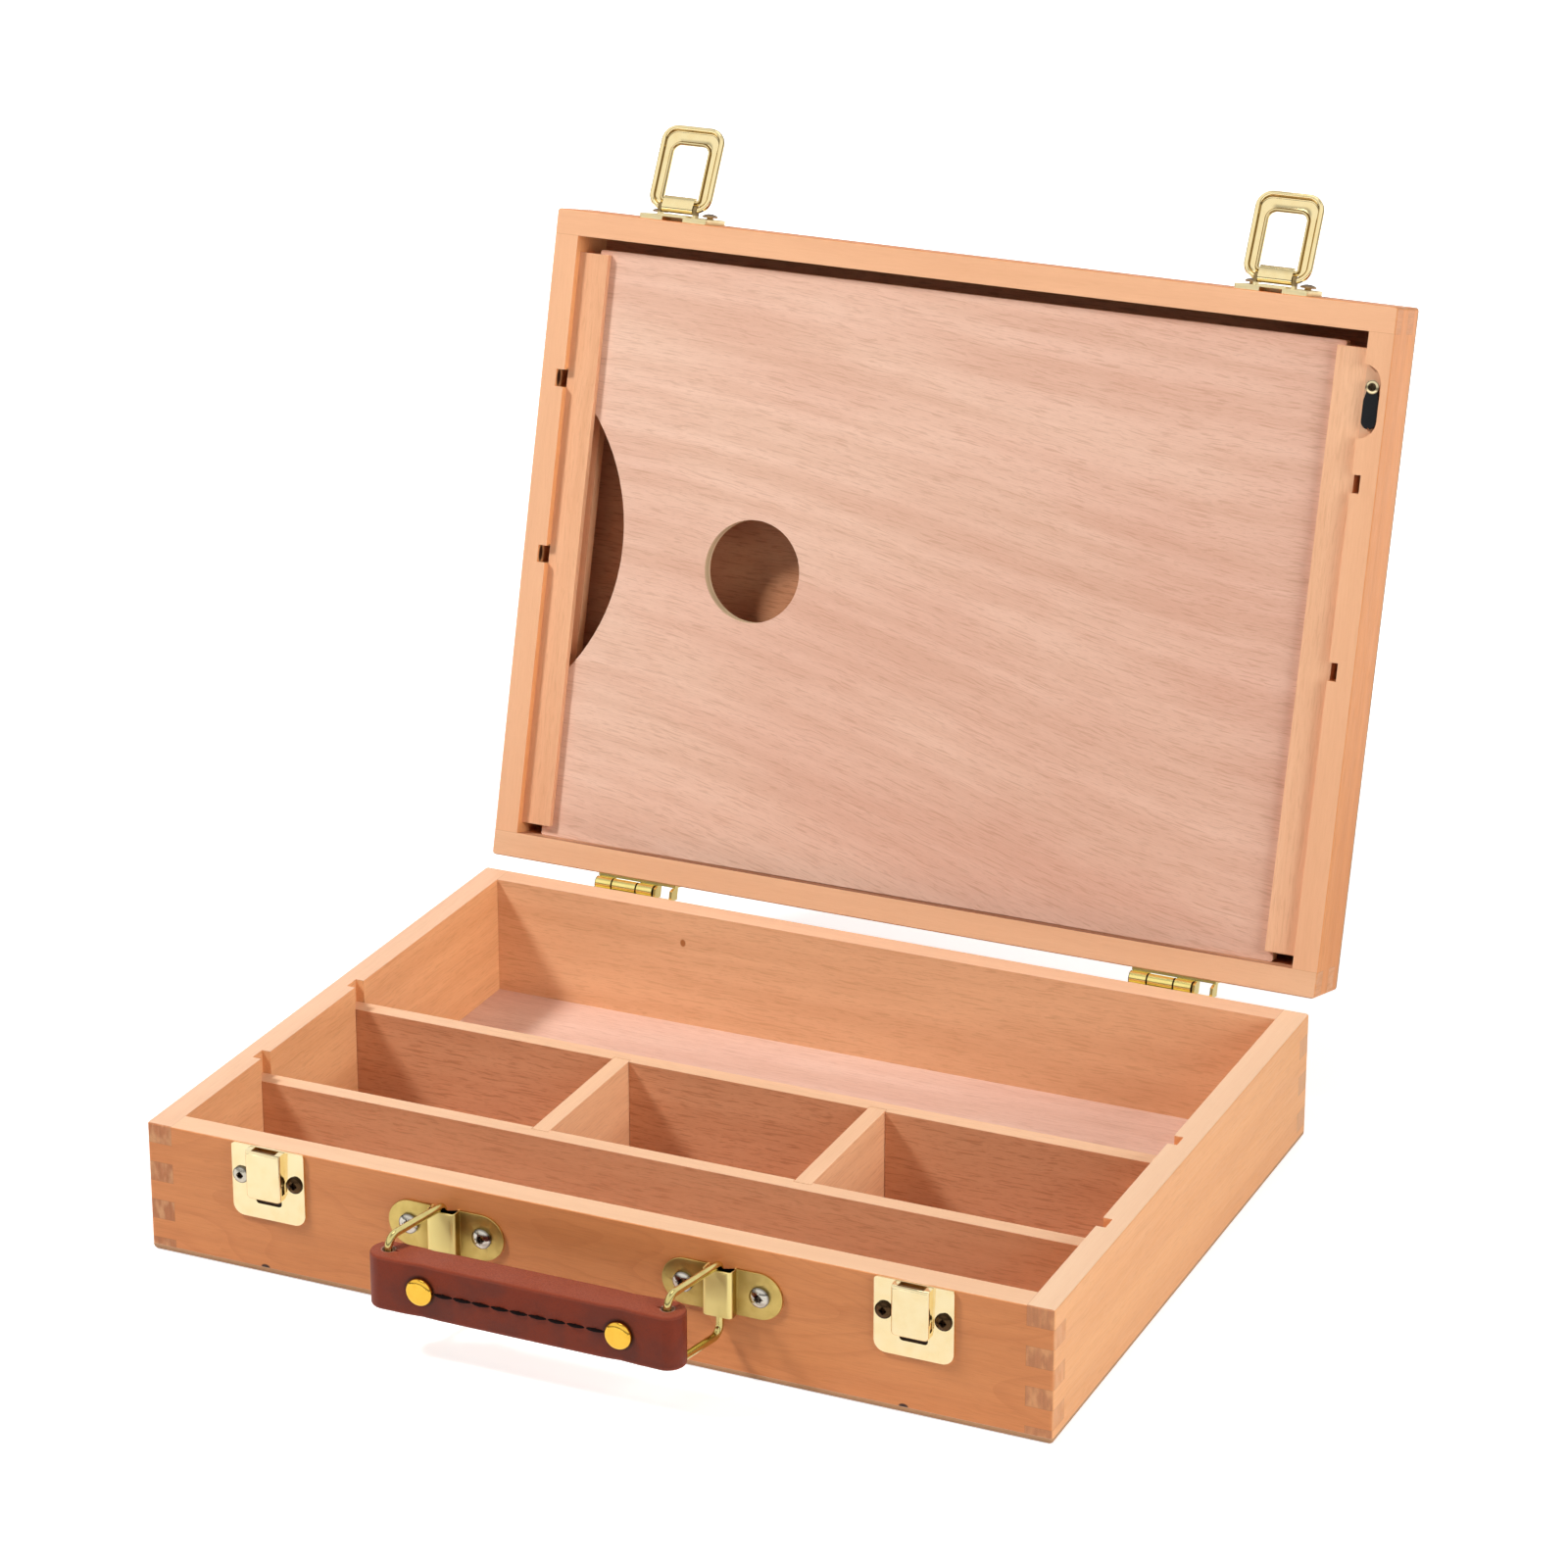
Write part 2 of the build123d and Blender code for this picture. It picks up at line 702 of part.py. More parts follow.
for name, x in zip(SIDES, latch_places):
    with BuildPart() as loop_plate:
        with BuildSketch(lid_front_face) as outline:
            with Locations((x, plate_low)):
                Rectangle(catch_width, loop_plate_height, align=(Align.CENTER, Align.MIN))
            fillet(outline.vertices().group_by(Axis.Y)[-1], catch_corner)
            fillet(outline.vertices().group_by(Axis.Y)[0], catch_rim_corner)
        extrude(amount=sheet)
        with BuildSketch(lid_front_face):
            with Locations((x, plate_low)):
                Rectangle(loop_hood_width, loop_hood_length, align=(Align.CENTER, Align.MIN))
        extrude(amount=loop_hood_rise)
        with BuildSketch(lid_front_face):
            with Locations((x, plate_low)):
                Rectangle(loop_hood_slot, loop_hood_length - sheet,
                          align=(Align.CENTER, Align.MIN))
        extrude(amount=loop_hood_rise - sheet, mode=Mode.SUBTRACT)
        for start in (x - ear_start - ear_sheet, x + ear_start):
            with BuildSketch(on_lid(Plane.YZ.offset(start))):
                with Locations((pivot_y, pivot_z)):
                    Circle(ear_radius)
                with Locations((pivot_y + pivot_standoff / 2, pivot_z)):
                    Rectangle(pivot_standoff, 2 * ear_radius)
                with Locations((pivot_y, pivot_z)):
                    Circle(latch_pin_radius + screw_clearance, mode=Mode.SUBTRACT)
            extrude(amount=ear_sheet)
        with BuildSketch(lid_front_face):
            with Locations(*pairs([x], latch_screw_offset, lid_rim + latch_screw_drop)):
                Circle(latch_screw.shank_radius + screw_clearance)
        extrude(amount=sheet, mode=Mode.SUBTRACT)
    save(loop_plate, f"loop_plate_{name}")

    with BuildPart() as latch_loop:
        with BuildSketch(on_loop(loop_inner_side)) as outline:
            with Locations((x, loop_top)):
                Rectangle(loop_width, loop_length, align=(Align.CENTER, Align.MAX))
            fillet(outline.vertices(), loop_corner)
        extrude(amount=loop_thickness)
        outer_face = latch_loop.faces().sort_by(Axis((0, 0, 0), on_loop(front_face).z_dir))[-1]
        fillet(outer_face.edges(), loop_rounding)
        with BuildSketch(on_loop(loop_inner_side)) as window:
            with Locations((x, window_top)):
                Rectangle(window_width, window_length, align=(Align.CENTER, Align.MAX))
            fillet(window.vertices().group_by(Axis.Y)[0], window_corner)
        extrude(amount=loop_thickness, mode=Mode.SUBTRACT)
        with BuildSketch(on_loop(loop_inner_side)):
            with Locations((x, loop_top - loop_length / 2)):
                RectangleRounded(loop_width - 2 * loop_outer_rim, loop_length - 2 * loop_outer_rim,
                                 loop_corner - loop_outer_rim)
            with Locations((x, window_bottom - loop_inner_rim)):
                Rectangle(window_width + 2 * loop_inner_rim, loop_length,
                          align=(Align.CENTER, Align.MIN), mode=Mode.SUBTRACT)
        extrude(amount=loop_channel, mode=Mode.SUBTRACT)
        for start in (x - loop_knuckle_width / 2 - ear_slot, x + loop_knuckle_width / 2):
            with BuildSketch(on_loop(Plane.YZ.offset(start))):
                with Locations((pivot_y, pivot_z)):
                    Circle(ear_slot_radius)
            extrude(amount=ear_slot, mode=Mode.SUBTRACT)
        with BuildSketch(on_loop(Plane.YZ.offset(x - loop_knuckle_width / 2))):
            with Locations((pivot_y, pivot_z)):
                Circle(loop_knuckle_radius)
        extrude(amount=loop_knuckle_width)
        with BuildSketch(on_loop(Plane.YZ.offset(x - loop_knuckle_width / 2))):
            with Locations((pivot_y, pivot_z)):
                Circle(latch_pin_radius + pin_clearance)
        extrude(amount=loop_knuckle_width, mode=Mode.SUBTRACT)
    save(latch_loop, f"latch_loop_{name}")

with BuildPart() as latch_pins:
    for x in latch_places:
        with BuildSketch(on_lid(Plane.YZ.offset(x - ear_start - ear_sheet))):
            with Locations((pivot_y, pivot_z)):
                Circle(latch_pin_radius)
        extrude(amount=2 * (ear_start + ear_sheet))
save(latch_pins, "latch_pins")

loop_plate_face = lid_front_face.offset(sheet)
save(screw_group(latch_screw, loop_plate_face, loop_plate_spots), "loop_plate_screws")

# ---- Handle brackets ----------------------------------------------------------------------

for name, x in zip(SIDES, bracket_places):
    with BuildPart() as bracket:
        with BuildSketch(front_face):
            with Locations((x, bracket_centre)):
                SlotOverall(bracket_width, bracket_height)
        extrude(amount=sheet)
        with BuildSketch(front_face):
            with Locations((x, bracket_centre)):
                Rectangle(channel_width, bracket_height)
        extrude(amount=channel_rise)
        channel_edges = bracket.faces().sort_by(Axis.Y)[0].edges().filter_by(Axis.Z)
        fillet(channel_edges, channel_rounding)
        with BuildSketch(front_face):
            with Locations((x, bracket_centre)):
                Rectangle(channel_width - 2 * channel_sheet, bracket_height)
        extrude(amount=channel_rise - channel_sheet, mode=Mode.SUBTRACT)
        with BuildSketch(front_face):
            with Locations(*pairs([x], bracket_screw_offset, bracket_centre)):
                Circle(bracket_screw.shank_radius + screw_clearance)
        extrude(amount=sheet, mode=Mode.SUBTRACT)
    save(bracket, f"handle_bracket_{name}")

save(screw_group(bracket_screw, front_face.offset(sheet), bracket_spots), "bracket_screws")

# ---- Handle rings -------------------------------------------------------------------------

ring_axis_standoff = channel_rise - channel_sheet - ring_channel_gap - ring_wire_radius
ring_y = -half_depth - ring_axis_standoff
ring_top = bracket_centre + bracket_height / 2 + ring_seat_gap + ring_wire_radius
ring_bottom = ring_top - ring_inner_height - 2 * ring_wire_radius
ring_out = Vector(0, -1, 0).rotate(Axis.Z, -ring_rest_angle)

for name, x in zip(SIDES, bracket_places):
    ring_plane = Plane(origin=(x, ring_y, 0), x_dir=ring_out, z_dir=ring_out.cross(Vector(0, 0, 1)))
    with BuildPart() as ring:
        with BuildLine(ring_plane) as path:
            FilletPolyline(
                (0, ring_bottom),
                (0, ring_top),
                (ring_reach, ring_top),
                (ring_reach, ring_bottom),
                radius=(ring_top_bend, ring_tight_bend, ring_top_bend, ring_tight_bend),
                close=True,
            )
        with BuildSketch(Plane(origin=path.line @ 0, z_dir=path.line % 0)):
            Circle(ring_wire_radius)
        sweep()
    save(ring, f"handle_ring_{name}")

# ---- Leather handle -----------------------------------------------------------------------

handle_x = ring_reach * ring_out.X
handle_y = ring_y + ring_reach * ring_out.Y
handle_bottom = ring_bottom + ring_wire_radius + handle_seat_gap
handle_middle = handle_bottom + handle_height / 2
handle_plane = Plane.XY.offset(handle_bottom)
rivet_spots = [(handle_x + side * rivet_spacing / 2, handle_middle) for side in SIDES.values()]
handle_side = Plane.XZ.offset(-handle_y)

with BuildPart() as handle_strap:
    with BuildSketch(handle_plane):
        with Locations((handle_x, handle_y)):
            SlotOverall(bracket_spacing + handle_thickness, handle_thickness)
    extrude(amount=handle_height)
    fillet(handle_strap.faces().filter_by(Axis.Z).edges(), handle_rounding)
    for side in SIDES.values():
        end = handle_x + side * bracket_spacing / 2
        with BuildSketch(handle_plane):
            with Locations((end, handle_y)):
                Circle(handle_hole_radius)
            with BuildLine():
                Polyline(
                    (end, handle_y + handle_hole_radius),
                    (end - side * handle_slit_length, handle_y),
                    (end, handle_y - handle_hole_radius),
                    close=True,
                )
            make_face()
        extrude(amount=handle_height, mode=Mode.SUBTRACT)
    with BuildSketch(handle_side):
        with Locations(*rivet_spots):
            Circle(rivet_shank_radius + rivet_clearance)
    extrude(amount=handle_thickness, both=True, mode=Mode.SUBTRACT)
save(handle_strap, "handle_strap")

rivet_top = handle_thickness / 2
rivet_crown = rivet_top + rivet_head_height
dome_x, dome_rise = dome_middle(rivet_head_radius, rivet_head_height)

with BuildPart() as rivet:
    with BuildSketch(Plane.XZ):
        with BuildLine():
            Line((0, rivet_crown), (0, -rivet_crown))
            ThreePointArc((0, -rivet_crown), (dome_x, -rivet_top - dome_rise),
                          (rivet_head_radius, -rivet_top))
            Polyline(
                (rivet_head_radius, -rivet_top),
                (rivet_shank_radius, -rivet_top),
                (rivet_shank_radius, rivet_top),
                (rivet_head_radius, rivet_top),
            )
            ThreePointArc((rivet_head_radius, rivet_top), (dome_x, rivet_top + dome_rise),
                          (0, rivet_crown))
        make_face()
    revolve(axis=Axis.Z)

with BuildPart() as handle_rivets:
    with Locations(*[handle_side.location * Location((x, z, 0)) for x, z in rivet_spots]):
        add(rivet.part)
save(handle_rivets, "handle_rivets")
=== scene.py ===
# %% [markdown]
# # A pochade box
# A pochade box is a painter's travelling box: a shallow beech tray with dividers, a lid that
# holds the palette, and brass furniture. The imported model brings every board, hinge and
# screw in its place. This lesson gives them wood, brass and leather, models the stitched
# handle and the pressed brass by hand, and sets up the floor, the light and the camera.

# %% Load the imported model
import math

import bpy
from mathutils import Matrix, Vector


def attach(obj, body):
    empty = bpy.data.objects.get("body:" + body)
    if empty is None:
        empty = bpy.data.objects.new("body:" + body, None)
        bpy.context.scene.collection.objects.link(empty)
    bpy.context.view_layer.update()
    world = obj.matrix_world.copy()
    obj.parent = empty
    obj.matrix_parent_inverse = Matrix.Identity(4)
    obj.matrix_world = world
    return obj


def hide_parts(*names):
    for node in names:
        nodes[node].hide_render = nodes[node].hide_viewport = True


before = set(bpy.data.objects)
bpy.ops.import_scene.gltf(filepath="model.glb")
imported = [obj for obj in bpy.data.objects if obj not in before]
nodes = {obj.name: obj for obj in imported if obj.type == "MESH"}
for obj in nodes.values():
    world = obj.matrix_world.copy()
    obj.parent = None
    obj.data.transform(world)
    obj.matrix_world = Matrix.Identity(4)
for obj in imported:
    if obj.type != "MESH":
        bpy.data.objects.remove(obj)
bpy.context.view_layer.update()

# %% [markdown]
# ## The lid's own place
# The lid stands open, so its boards lie at a slant. Their grain is easier to lay out on the
# closed lid, where every board is square to the box. One turn about the hinge line brings
# a point of the open lid there.

# %% Turn an open-lid point to the closed lid
MM = 0.001
OPEN_ANGLE = math.radians(105)
HINGE_LINE = Vector((0, 154.4, 58.2)) * MM
BASE_RIM = 58.0
LID_RIM = 58.4
SIDES = ("left", "right")


def turn_about(point, turn):
    """A turn, made about a point."""
    return Matrix.Translation(point) @ turn @ Matrix.Translation(-point)


closing_turn = Matrix.Rotation(OPEN_ANGLE, 4, "X")
closing = turn_about(HINGE_LINE, closing_turn)


def in_lid(name):
    """Whether a board turns with the lid."""
    return name.startswith(("lid_", "runner_", "palette"))


def board_corners(name):
    """A board's lowest and highest corner in millimetres, laid square to the box."""
    points = [vertex.co for vertex in nodes[name].data.vertices]
    if in_lid(name):
        points = [closing @ point for point in points]
    low = [min(point[axis] for point in points) / MM for axis in range(3)]
    high = [max(point[axis] for point in points) / MM for axis in range(3)]
    return low, high


print("palette, closed", board_corners("palette"))

# %% [markdown]
# ## Short words for node trees
# A material is a small graph. Written out in full, each node takes several lines, so a few
# helpers make a node with its inputs, a sum, a soft step, and a mix of two colours. A socket
# knows which tree it is in, so most of them don't need to be told.

# %% Node helpers


def srgb(red, green, blue):
    """A colour written 0 to 255, as the linear values that shaders use."""
    channels = []
    for value in (red / 255, green / 255, blue / 255):
        low = value / 12.92
        channels.append(low if value <= 0.04045 else ((value + 0.055) / 1.055) ** 2.4)
    return (*channels, 1.0)


def shade(tone, red, green, blue):
    """A tone with its channels made weaker or stronger."""
    return (min(1.0, tone[0] * red), min(1.0, tone[1] * green), min(1.0, tone[2] * blue), 1.0)


def feed(node, name, value):
    """Sets an input of a node to a value, or joins it to a socket."""
    if isinstance(value, bpy.types.NodeSocket):
        node.id_data.links.new(value, node.inputs[name])
    else:
        node.inputs[name].default_value = value


def add(tree, kind, inputs=None, **settings):
    """A node with its settings and its inputs."""
    made = tree.nodes.new("ShaderNode" + kind)
    for name, value in settings.items():
        setattr(made, name, value)
    for name, value in (inputs or {}).items():
        feed(made, name, value)
    return made


def tree_of(*values):
    """The tree that the first socket among the values is in."""
    return next(value.id_data for value in values if isinstance(value, bpy.types.NodeSocket))


def maths(operation):
    """A function that makes one kind of Math node and gives its output."""

    def made(first, second=0.0):
        tree = tree_of(first, second)
        return add(tree, "Math", {0: first, 1: second}, operation=operation).outputs[0]

    return made


plus, minus, times, over = map(maths, ("ADD", "SUBTRACT", "MULTIPLY", "DIVIDE"))
most, least, size_of, root = map(maths, ("MAXIMUM", "MINIMUM", "ABSOLUTE", "SQRT"))
more_than, less_than, whole = map(maths, ("GREATER_THAN", "LESS_THAN", "FLOOR"))
rounded, fraction = map(maths, ("ROUND", "FRACT"))
remainder, zigzag = map(maths, ("FLOORED_MODULO", "PINGPONG"))


def gap(value, middle):
    """How far a value is from a middle."""
    return size_of(minus(value, middle))


def fade(value, start, end, low=0.0, high=1.0):
    """Goes smoothly from low to high as value goes from start to end."""
    names = {"Value": value, "From Min": start, "From Max": end, "To Min": low, "To Max": high}
    made = add(value.id_data, "MapRange", names, interpolation_type="SMOOTHSTEP")
    return made.outputs["Result"]


def line_at(value, middle, width):
    """1 on a line of that width about the middle, and 0 outside."""
    return fade(gap(value, middle), 0.6 * width, 0.3 * width)


def mix(factor, first, second, blend="MIX"):
    """Two colours, mixed by a factor."""
    inputs = {0: factor, 6: first, 7: second}
    return add(factor.id_data, "Mix", inputs, data_type="RGBA", blend_type=blend).outputs[2]


def vector(operation, first, second=(0.0, 0.0, 0.0), output="Vector"):
    """An output of a Vector Math node."""
    made = add(first.id_data, "VectorMath", {0: first, 1: second}, operation=operation)
    return made.outputs[output]


def axes_of(place):
    """A place's numbers along X, Y and Z."""
    return add(place.id_data, "SeparateXYZ", {0: place}).outputs


def noise(place, scale, detail=2.0, roughness=0.5):
    """Cloudy noise, from 0 to 1, at a place in millimetres. scale is one number for each axis."""
    inputs = {"Vector": vector("MULTIPLY", place, scale), "Scale": 1.0,
              "Detail": detail, "Roughness": roughness}
    return add(place.id_data, "TexNoise", inputs).outputs[0]


def new_material(name):
    """An empty material, the tree to build in, and its shader."""
    material = bpy.data.materials.new(name)
    material.use_nodes = True
    tree = material.node_tree
    return material, tree, tree.nodes["Principled BSDF"]


def painted(material):
    """A finished material's tree, its shader, and the socket that its colour comes from."""
    shader = material.node_tree.nodes["Principled BSDF"]
    return material.node_tree, shader, shader.inputs["Base Color"].links[0].from_socket


def dress(mesh, material):
    """Gives a mesh its one material."""
    mesh.materials.clear()
    mesh.materials.append(material)


def object_place(tree):
    """A point's place on the object, in millimetres."""
    return vector("MULTIPLY", add(tree, "TexCoord").outputs["Object"], (1 / MM,) * 3)


def closed_place(tree, turned=True):
    """A point's place on the closed box, in millimetres. turned is for what is on the lid."""
    place = add(tree, "TexCoord").outputs["Object"]
    turn = (OPEN_ANGLE if turned else 0.0, 0.0, 0.0)
    shift = HINGE_LINE - closing_turn @ HINGE_LINE if turned else Vector()
    laid = add(tree, "Mapping", {"Vector": place, "Location": shift, "Rotation": turn})
    return vector("MULTIPLY", laid.outputs[0], (1 / MM,) * 3)


def fine_bump(shader, height, strength=0.35, depth=0.06):
    """Sinks the surface where height is large. depth is in millimetres."""
    inputs = {"Height": height, "Strength": strength, "Distance": depth * MM}
    feed(shader, "Normal", add(shader.id_data, "Bump", inputs, invert=True).outputs[0])


# %% [markdown]
# ## The figure of beech
# Beech is pale and quiet. Close up it shows soft streaks along the board, thin arcs where
# the saw cut the year rings, fine fibres, and many short dark flecks. All of them follow
# the length of the board, so the noise that makes them is stretched along one axis. One
# group holds the figure. It takes a place in millimetres, with the grain along X, so every
# board can share it.

# %% Beech figure group
FIGURE_PARTS = ("Streaks", "Arcs", "Fibres", "Flecks", "Clouds")
RING_COUNT = 13.0


def make_figure():
    """A node group that turns a place on a board into the parts of its figure."""
    group = bpy.data.node_groups.new("beech_figure", "ShaderNodeTree")
    group.interface.new_socket("Place", in_out="INPUT", socket_type="NodeSocketVector")
    group.interface.new_socket("Wave", in_out="INPUT", socket_type="NodeSocketFloat")
    for name in FIGURE_PARTS:
        group.interface.new_socket(name, in_out="OUTPUT", socket_type="NodeSocketFloat")
    given = group.nodes.new("NodeGroupInput").outputs
    place = given["Place"]

    drift = times(minus(noise(place, (0.005, 0.016, 0.016), 1.5), 0.5), given["Wave"])
    ripple = minus(noise(place, (0.05, 0.10, 0.10), 1.0), 0.5)
    drift = plus(drift, times(ripple, 2.2))
    waved = vector("ADD", place, add(group, "CombineXYZ", {1: drift, 2: drift}).outputs[0])

    streaks = noise(waved, (0.005, 0.11, 0.11), 4.0, 0.55)
    rings = fraction(times(noise(waved, (0.008, 0.026, 0.026), 0.6), RING_COUNT))
    fibres = noise(waved, (0.03, 1.5, 1.5), 3.0, 0.7)
    long_flecks = fade(noise(waved, (0.085, 1.25, 1.25), 1.5, 0.6), 0.53, 0.68)
    short_flecks = fade(noise(waved, (0.24, 2.1, 2.1), 1.5, 0.6), 0.56, 0.70)
    clouds = noise(place, (0.009, 0.022, 0.022), 2.0)
    results = group.nodes.new("NodeGroupOutput")
    for name, value in zip(FIGURE_PARTS, (
            fade(streaks, 0.3, 0.7), fade(rings, 0.34, 0.0), fade(fibres, 0.3, 0.7),
            most(long_flecks, times(short_flecks, 0.7)), fade(clouds, 0.3, 0.7))):
        feed(results, name, value)
    return group


figure = make_figure()
print("figure nodes", len(figure.nodes))

# %% [markdown]
# ## Where the boards meet and end
# A board's end shows cut fibres, which drink more finish and look darker. At the box's
# corners the boards interlock in fingers, so dark ends and pale faces take turns, with a
# hair of glue line between them. Both follow from the place on the box, so they are worked
# out there instead of being painted on.

# %% Finger joints
WALL = 11.5
FINGER = 8.6
HALF_WIDTH = 200.0
HALF_DEPTH = 150.0
GLUE_WIDTH = 0.3
CORNER_MARGIN = 0.2


def glue_lines(across, along, up, turned):
    """The thin lines round the fingers of a corner joint."""
    depth = over(gap(up, LID_RIM if turned else BASE_RIM), FINGER)
    odd = remainder(plus(whole(depth), 1.0 if turned else 0.0), 2.0)
    even = minus(1.0, odd)
    across = size_of(across)
    along = size_of(along)
    in_corner = times(more_than(across, HALF_WIDTH - WALL - CORNER_MARGIN),
                      more_than(along, HALF_DEPTH - WALL - CORNER_MARGIN))
    level = line_at(times(minus(depth, rounded(depth)), FINGER), 0.0, GLUE_WIDTH)
    level = times(level, more_than(depth, 0.5))
    long_line = times(even, line_at(across, HALF_WIDTH - WALL, GLUE_WIDTH))
    side_line = times(odd, line_at(along, HALF_DEPTH - WALL, GLUE_WIDTH))
    return times(most(most(long_line, side_line), level), in_corner)


# %% [markdown]
# ## One recipe for every solid board
# Each board is cut from its own plank, so its tone differs a little. The recipe takes the
# board's tone, the way its grain runs and where its ends are, and gives it its own piece
# of the figure by moving the place that it reads.

# %% Solid beech


def laid_place(name, place, turn, step):
    """A place on a board, turned so that its grain runs along X, and moved to its own spot."""
    seed = step * (sorted(nodes).index(name) + 1)
    inputs = {"Vector": place, "Rotation": (0.0, 0.0, turn), "Location": (seed,) * 3}
    return add(place.id_data, "Mapping", inputs).outputs[0]


def figured(place, wave):
    """The parts of the figure at a place, with the grain along X."""
    return add(place.id_data, "Group", {"Place": place, "Wave": wave}, node_tree=figure).outputs


def wood_colour(parts, tone, band, fleck, arc):
    """A tone with its figure on it. band, fleck and arc say how strong each part is."""
    streaks, arcs, fibres, flecks, clouds = parts
    blend = plus(plus(times(streaks, 0.55), times(clouds, 0.25)), times(fibres, 0.25))
    colour = mix(times(blend, band), shade(tone, 1.06, 1.08, 1.09), shade(tone, 0.90, 0.84, 0.80))
    colour = mix(times(arcs, arc), colour, shade(tone, 0.80, 0.68, 0.60))
    return mix(times(flecks, fleck), colour, shade(tone, 0.60, 0.47, 0.38))


def finish_board(name, material, shader, colour, gloss, height):
    """Joins up a board's colour, gloss and relief, and gives the board its material."""
    feed(shader, "Base Color", colour)
    feed(shader, "Roughness", gloss)
    fine_bump(shader, height)
    dress(nodes[name].data, material)


def beech(name, grain, tone, end, rim=None, wave=6.0, band=1.0, fleck=0.4, arc=0.0, marks_and_painted_light=()):
    """Beech for one board. end is the tone of its cut ends, rim the height of its rim and a paler
    tone painted on its top face as painted light.
    """
    material, tree, shader = new_material(name + "_beech")
    place = closed_place(tree, in_lid(name))
    low, high = board_corners(name)
    axes = axes_of(place)
    across, along, up = axes

    laid = laid_place(name, place, 0.0 if grain == "X" else -math.pi / 2, 37.0)
    parts = figured(laid, wave)
    colour = wood_colour(parts, tone, band, fleck, arc)
    # Patches are faded in round their middles: a real mark, painted shade or painted light.
    for patch_place, reach, patch in marks_and_painted_light:
        away = vector("DIVIDE", vector("SUBTRACT", place, patch_place), reach)
        away = vector("LENGTH", away, output="Value")
        colour = mix(fade(away, 1.0, 0.6), colour, patch)
    # Painted light: the rim's top face gets a paler, plainer copy of the wood, as the light from
    # above makes it look.
    if rim is not None:
        edge, lit_rim_tone = rim
        lit_rim_colour = wood_colour(parts, lit_rim_tone, 0.6 * band, 0.3 * fleck, 0.0)
        colour = mix(line_at(up, edge, 0.5), colour, lit_rim_colour)

    axis = 0 if grain == "X" else 1
    first = fade(axes[axis], low[axis] + 0.7, low[axis] + 0.25)
    last = fade(axes[axis], high[axis] - 0.7, high[axis] - 0.25)
    at_end = most(first, last)
    stripes = fade(noise(place, (0.9, 0.9, 0.10), 2.0), 0.35, 0.65)
    pores = fade(noise(place, (2.6, 2.6, 1.9), 1.0), 0.4, 0.7)
    speckle = plus(times(stripes, 0.6), times(pores, 0.3))
    end_colour = mix(speckle, shade(end, 1.05, 1.05, 1.05), shade(end, 0.84, 0.82, 0.80))
    patchy = fade(noise(place, (0.25, 0.25, 0.12), 2.0), 0.3, 0.6, 0.4, 0.9)
    colour = mix(times(at_end, patchy), colour, end_colour)
    if name.endswith("_wall"):
        lines = times(glue_lines(across, along, up, in_lid(name)), 0.3)
        colour = mix(lines, colour, shade(tone, 0.5, 0.38, 0.3))

    fibres = parts["Fibres"]
    height = plus(plus(times(fibres, 0.3), parts["Flecks"]), times(at_end, 0.4))
    finish_board(name, material, shader, colour, fade(fibres, 0.0, 1.0, 0.42, 0.54), height)


FRONT = srgb(230, 149, 91)
LID = srgb(238, 183, 142)
CROSS = srgb(248, 200, 156)
# Painted light: the pale tone of the lit top faces.
LIT_RIM = srgb(247, 202, 164)
PALE_END = srgb(238, 176, 128)
LID_END = srgb(232, 158, 102)
DARK = srgb(52, 26, 14)

LATCH_X = 142.5
# The rims are painted light: each board's top face gets a paler tone than its sides, palest on the
# right wall, as the lamps above and on the right make it look.
base_lit_rim = (BASE_RIM, LIT_RIM)
base_lit_rim_left = (BASE_RIM, srgb(243, 197, 162))
base_lit_rim_right = (BASE_RIM, srgb(252, 210, 175))
lid_lit_rim = (LID_RIM, LID)
lid_lit_rim_back = (LID_RIM, srgb(238, 189, 150))
divider_lit_rim = (47.6, LIT_RIM)

# A patch is a middle, its reach along each axis, and a tone. The knot is a mark in the wood.
# The others are painted shade and painted light: painted shade round the catch hoods, under
# the palette's lower edge and in the lid's slots, and painted light where each hood's top slot
# is seen. Two spots at the foot of the front are darkened, and the button's recess gets a
# paler, pinker tone.
recess = [((187.5, -108.5, LID_RIM + 4.5), (12.4, 70.0, 4.3), srgb(230, 184, 148))]
# Painted shade on the front wall behind each catch hood, seen through the slot under it, and
# painted light where the hood's top slot is seen.
hood_painted_shade_and_light = [patch for x in (-LATCH_X, LATCH_X) for patch in (
    ((x, -HALF_DEPTH, 37.0), (13.0, 4.0, 14.0), DARK),
    ((x, -HALF_DEPTH, 54.0), (9.0, 4.0, 7.0), srgb(244, 206, 178)))]
# Two small dark spots on the front wall near its bottom edge.
foot_dark_spots = [((x, -HALF_DEPTH, 3.3), (2.4, 1.0, 1.3), DARK) for x in (-146.0, 138.0)]
knot = [((-94.0, 138.5, 43.0), (1.6, 2.0, 2.2), srgb(176, 110, 62))]
# Painted shade on the lid's back wall, in the gap along the palette's lower edge.
palette_foot_shade = [((0, 138.5, LID_RIM + 3.0), (230.0, 0.5, 7.0), srgb(134, 84, 54))]
# Painted shade in the slots of the lid's side walls.
slot_shade_left, slot_shade_right = (
    [((x, y, LID_RIM + 3.2), (4.5, 6.0, 2.9), DARK) for y in (-73.0, 8.3)]
    for x in (-190.5, 190.5)
)

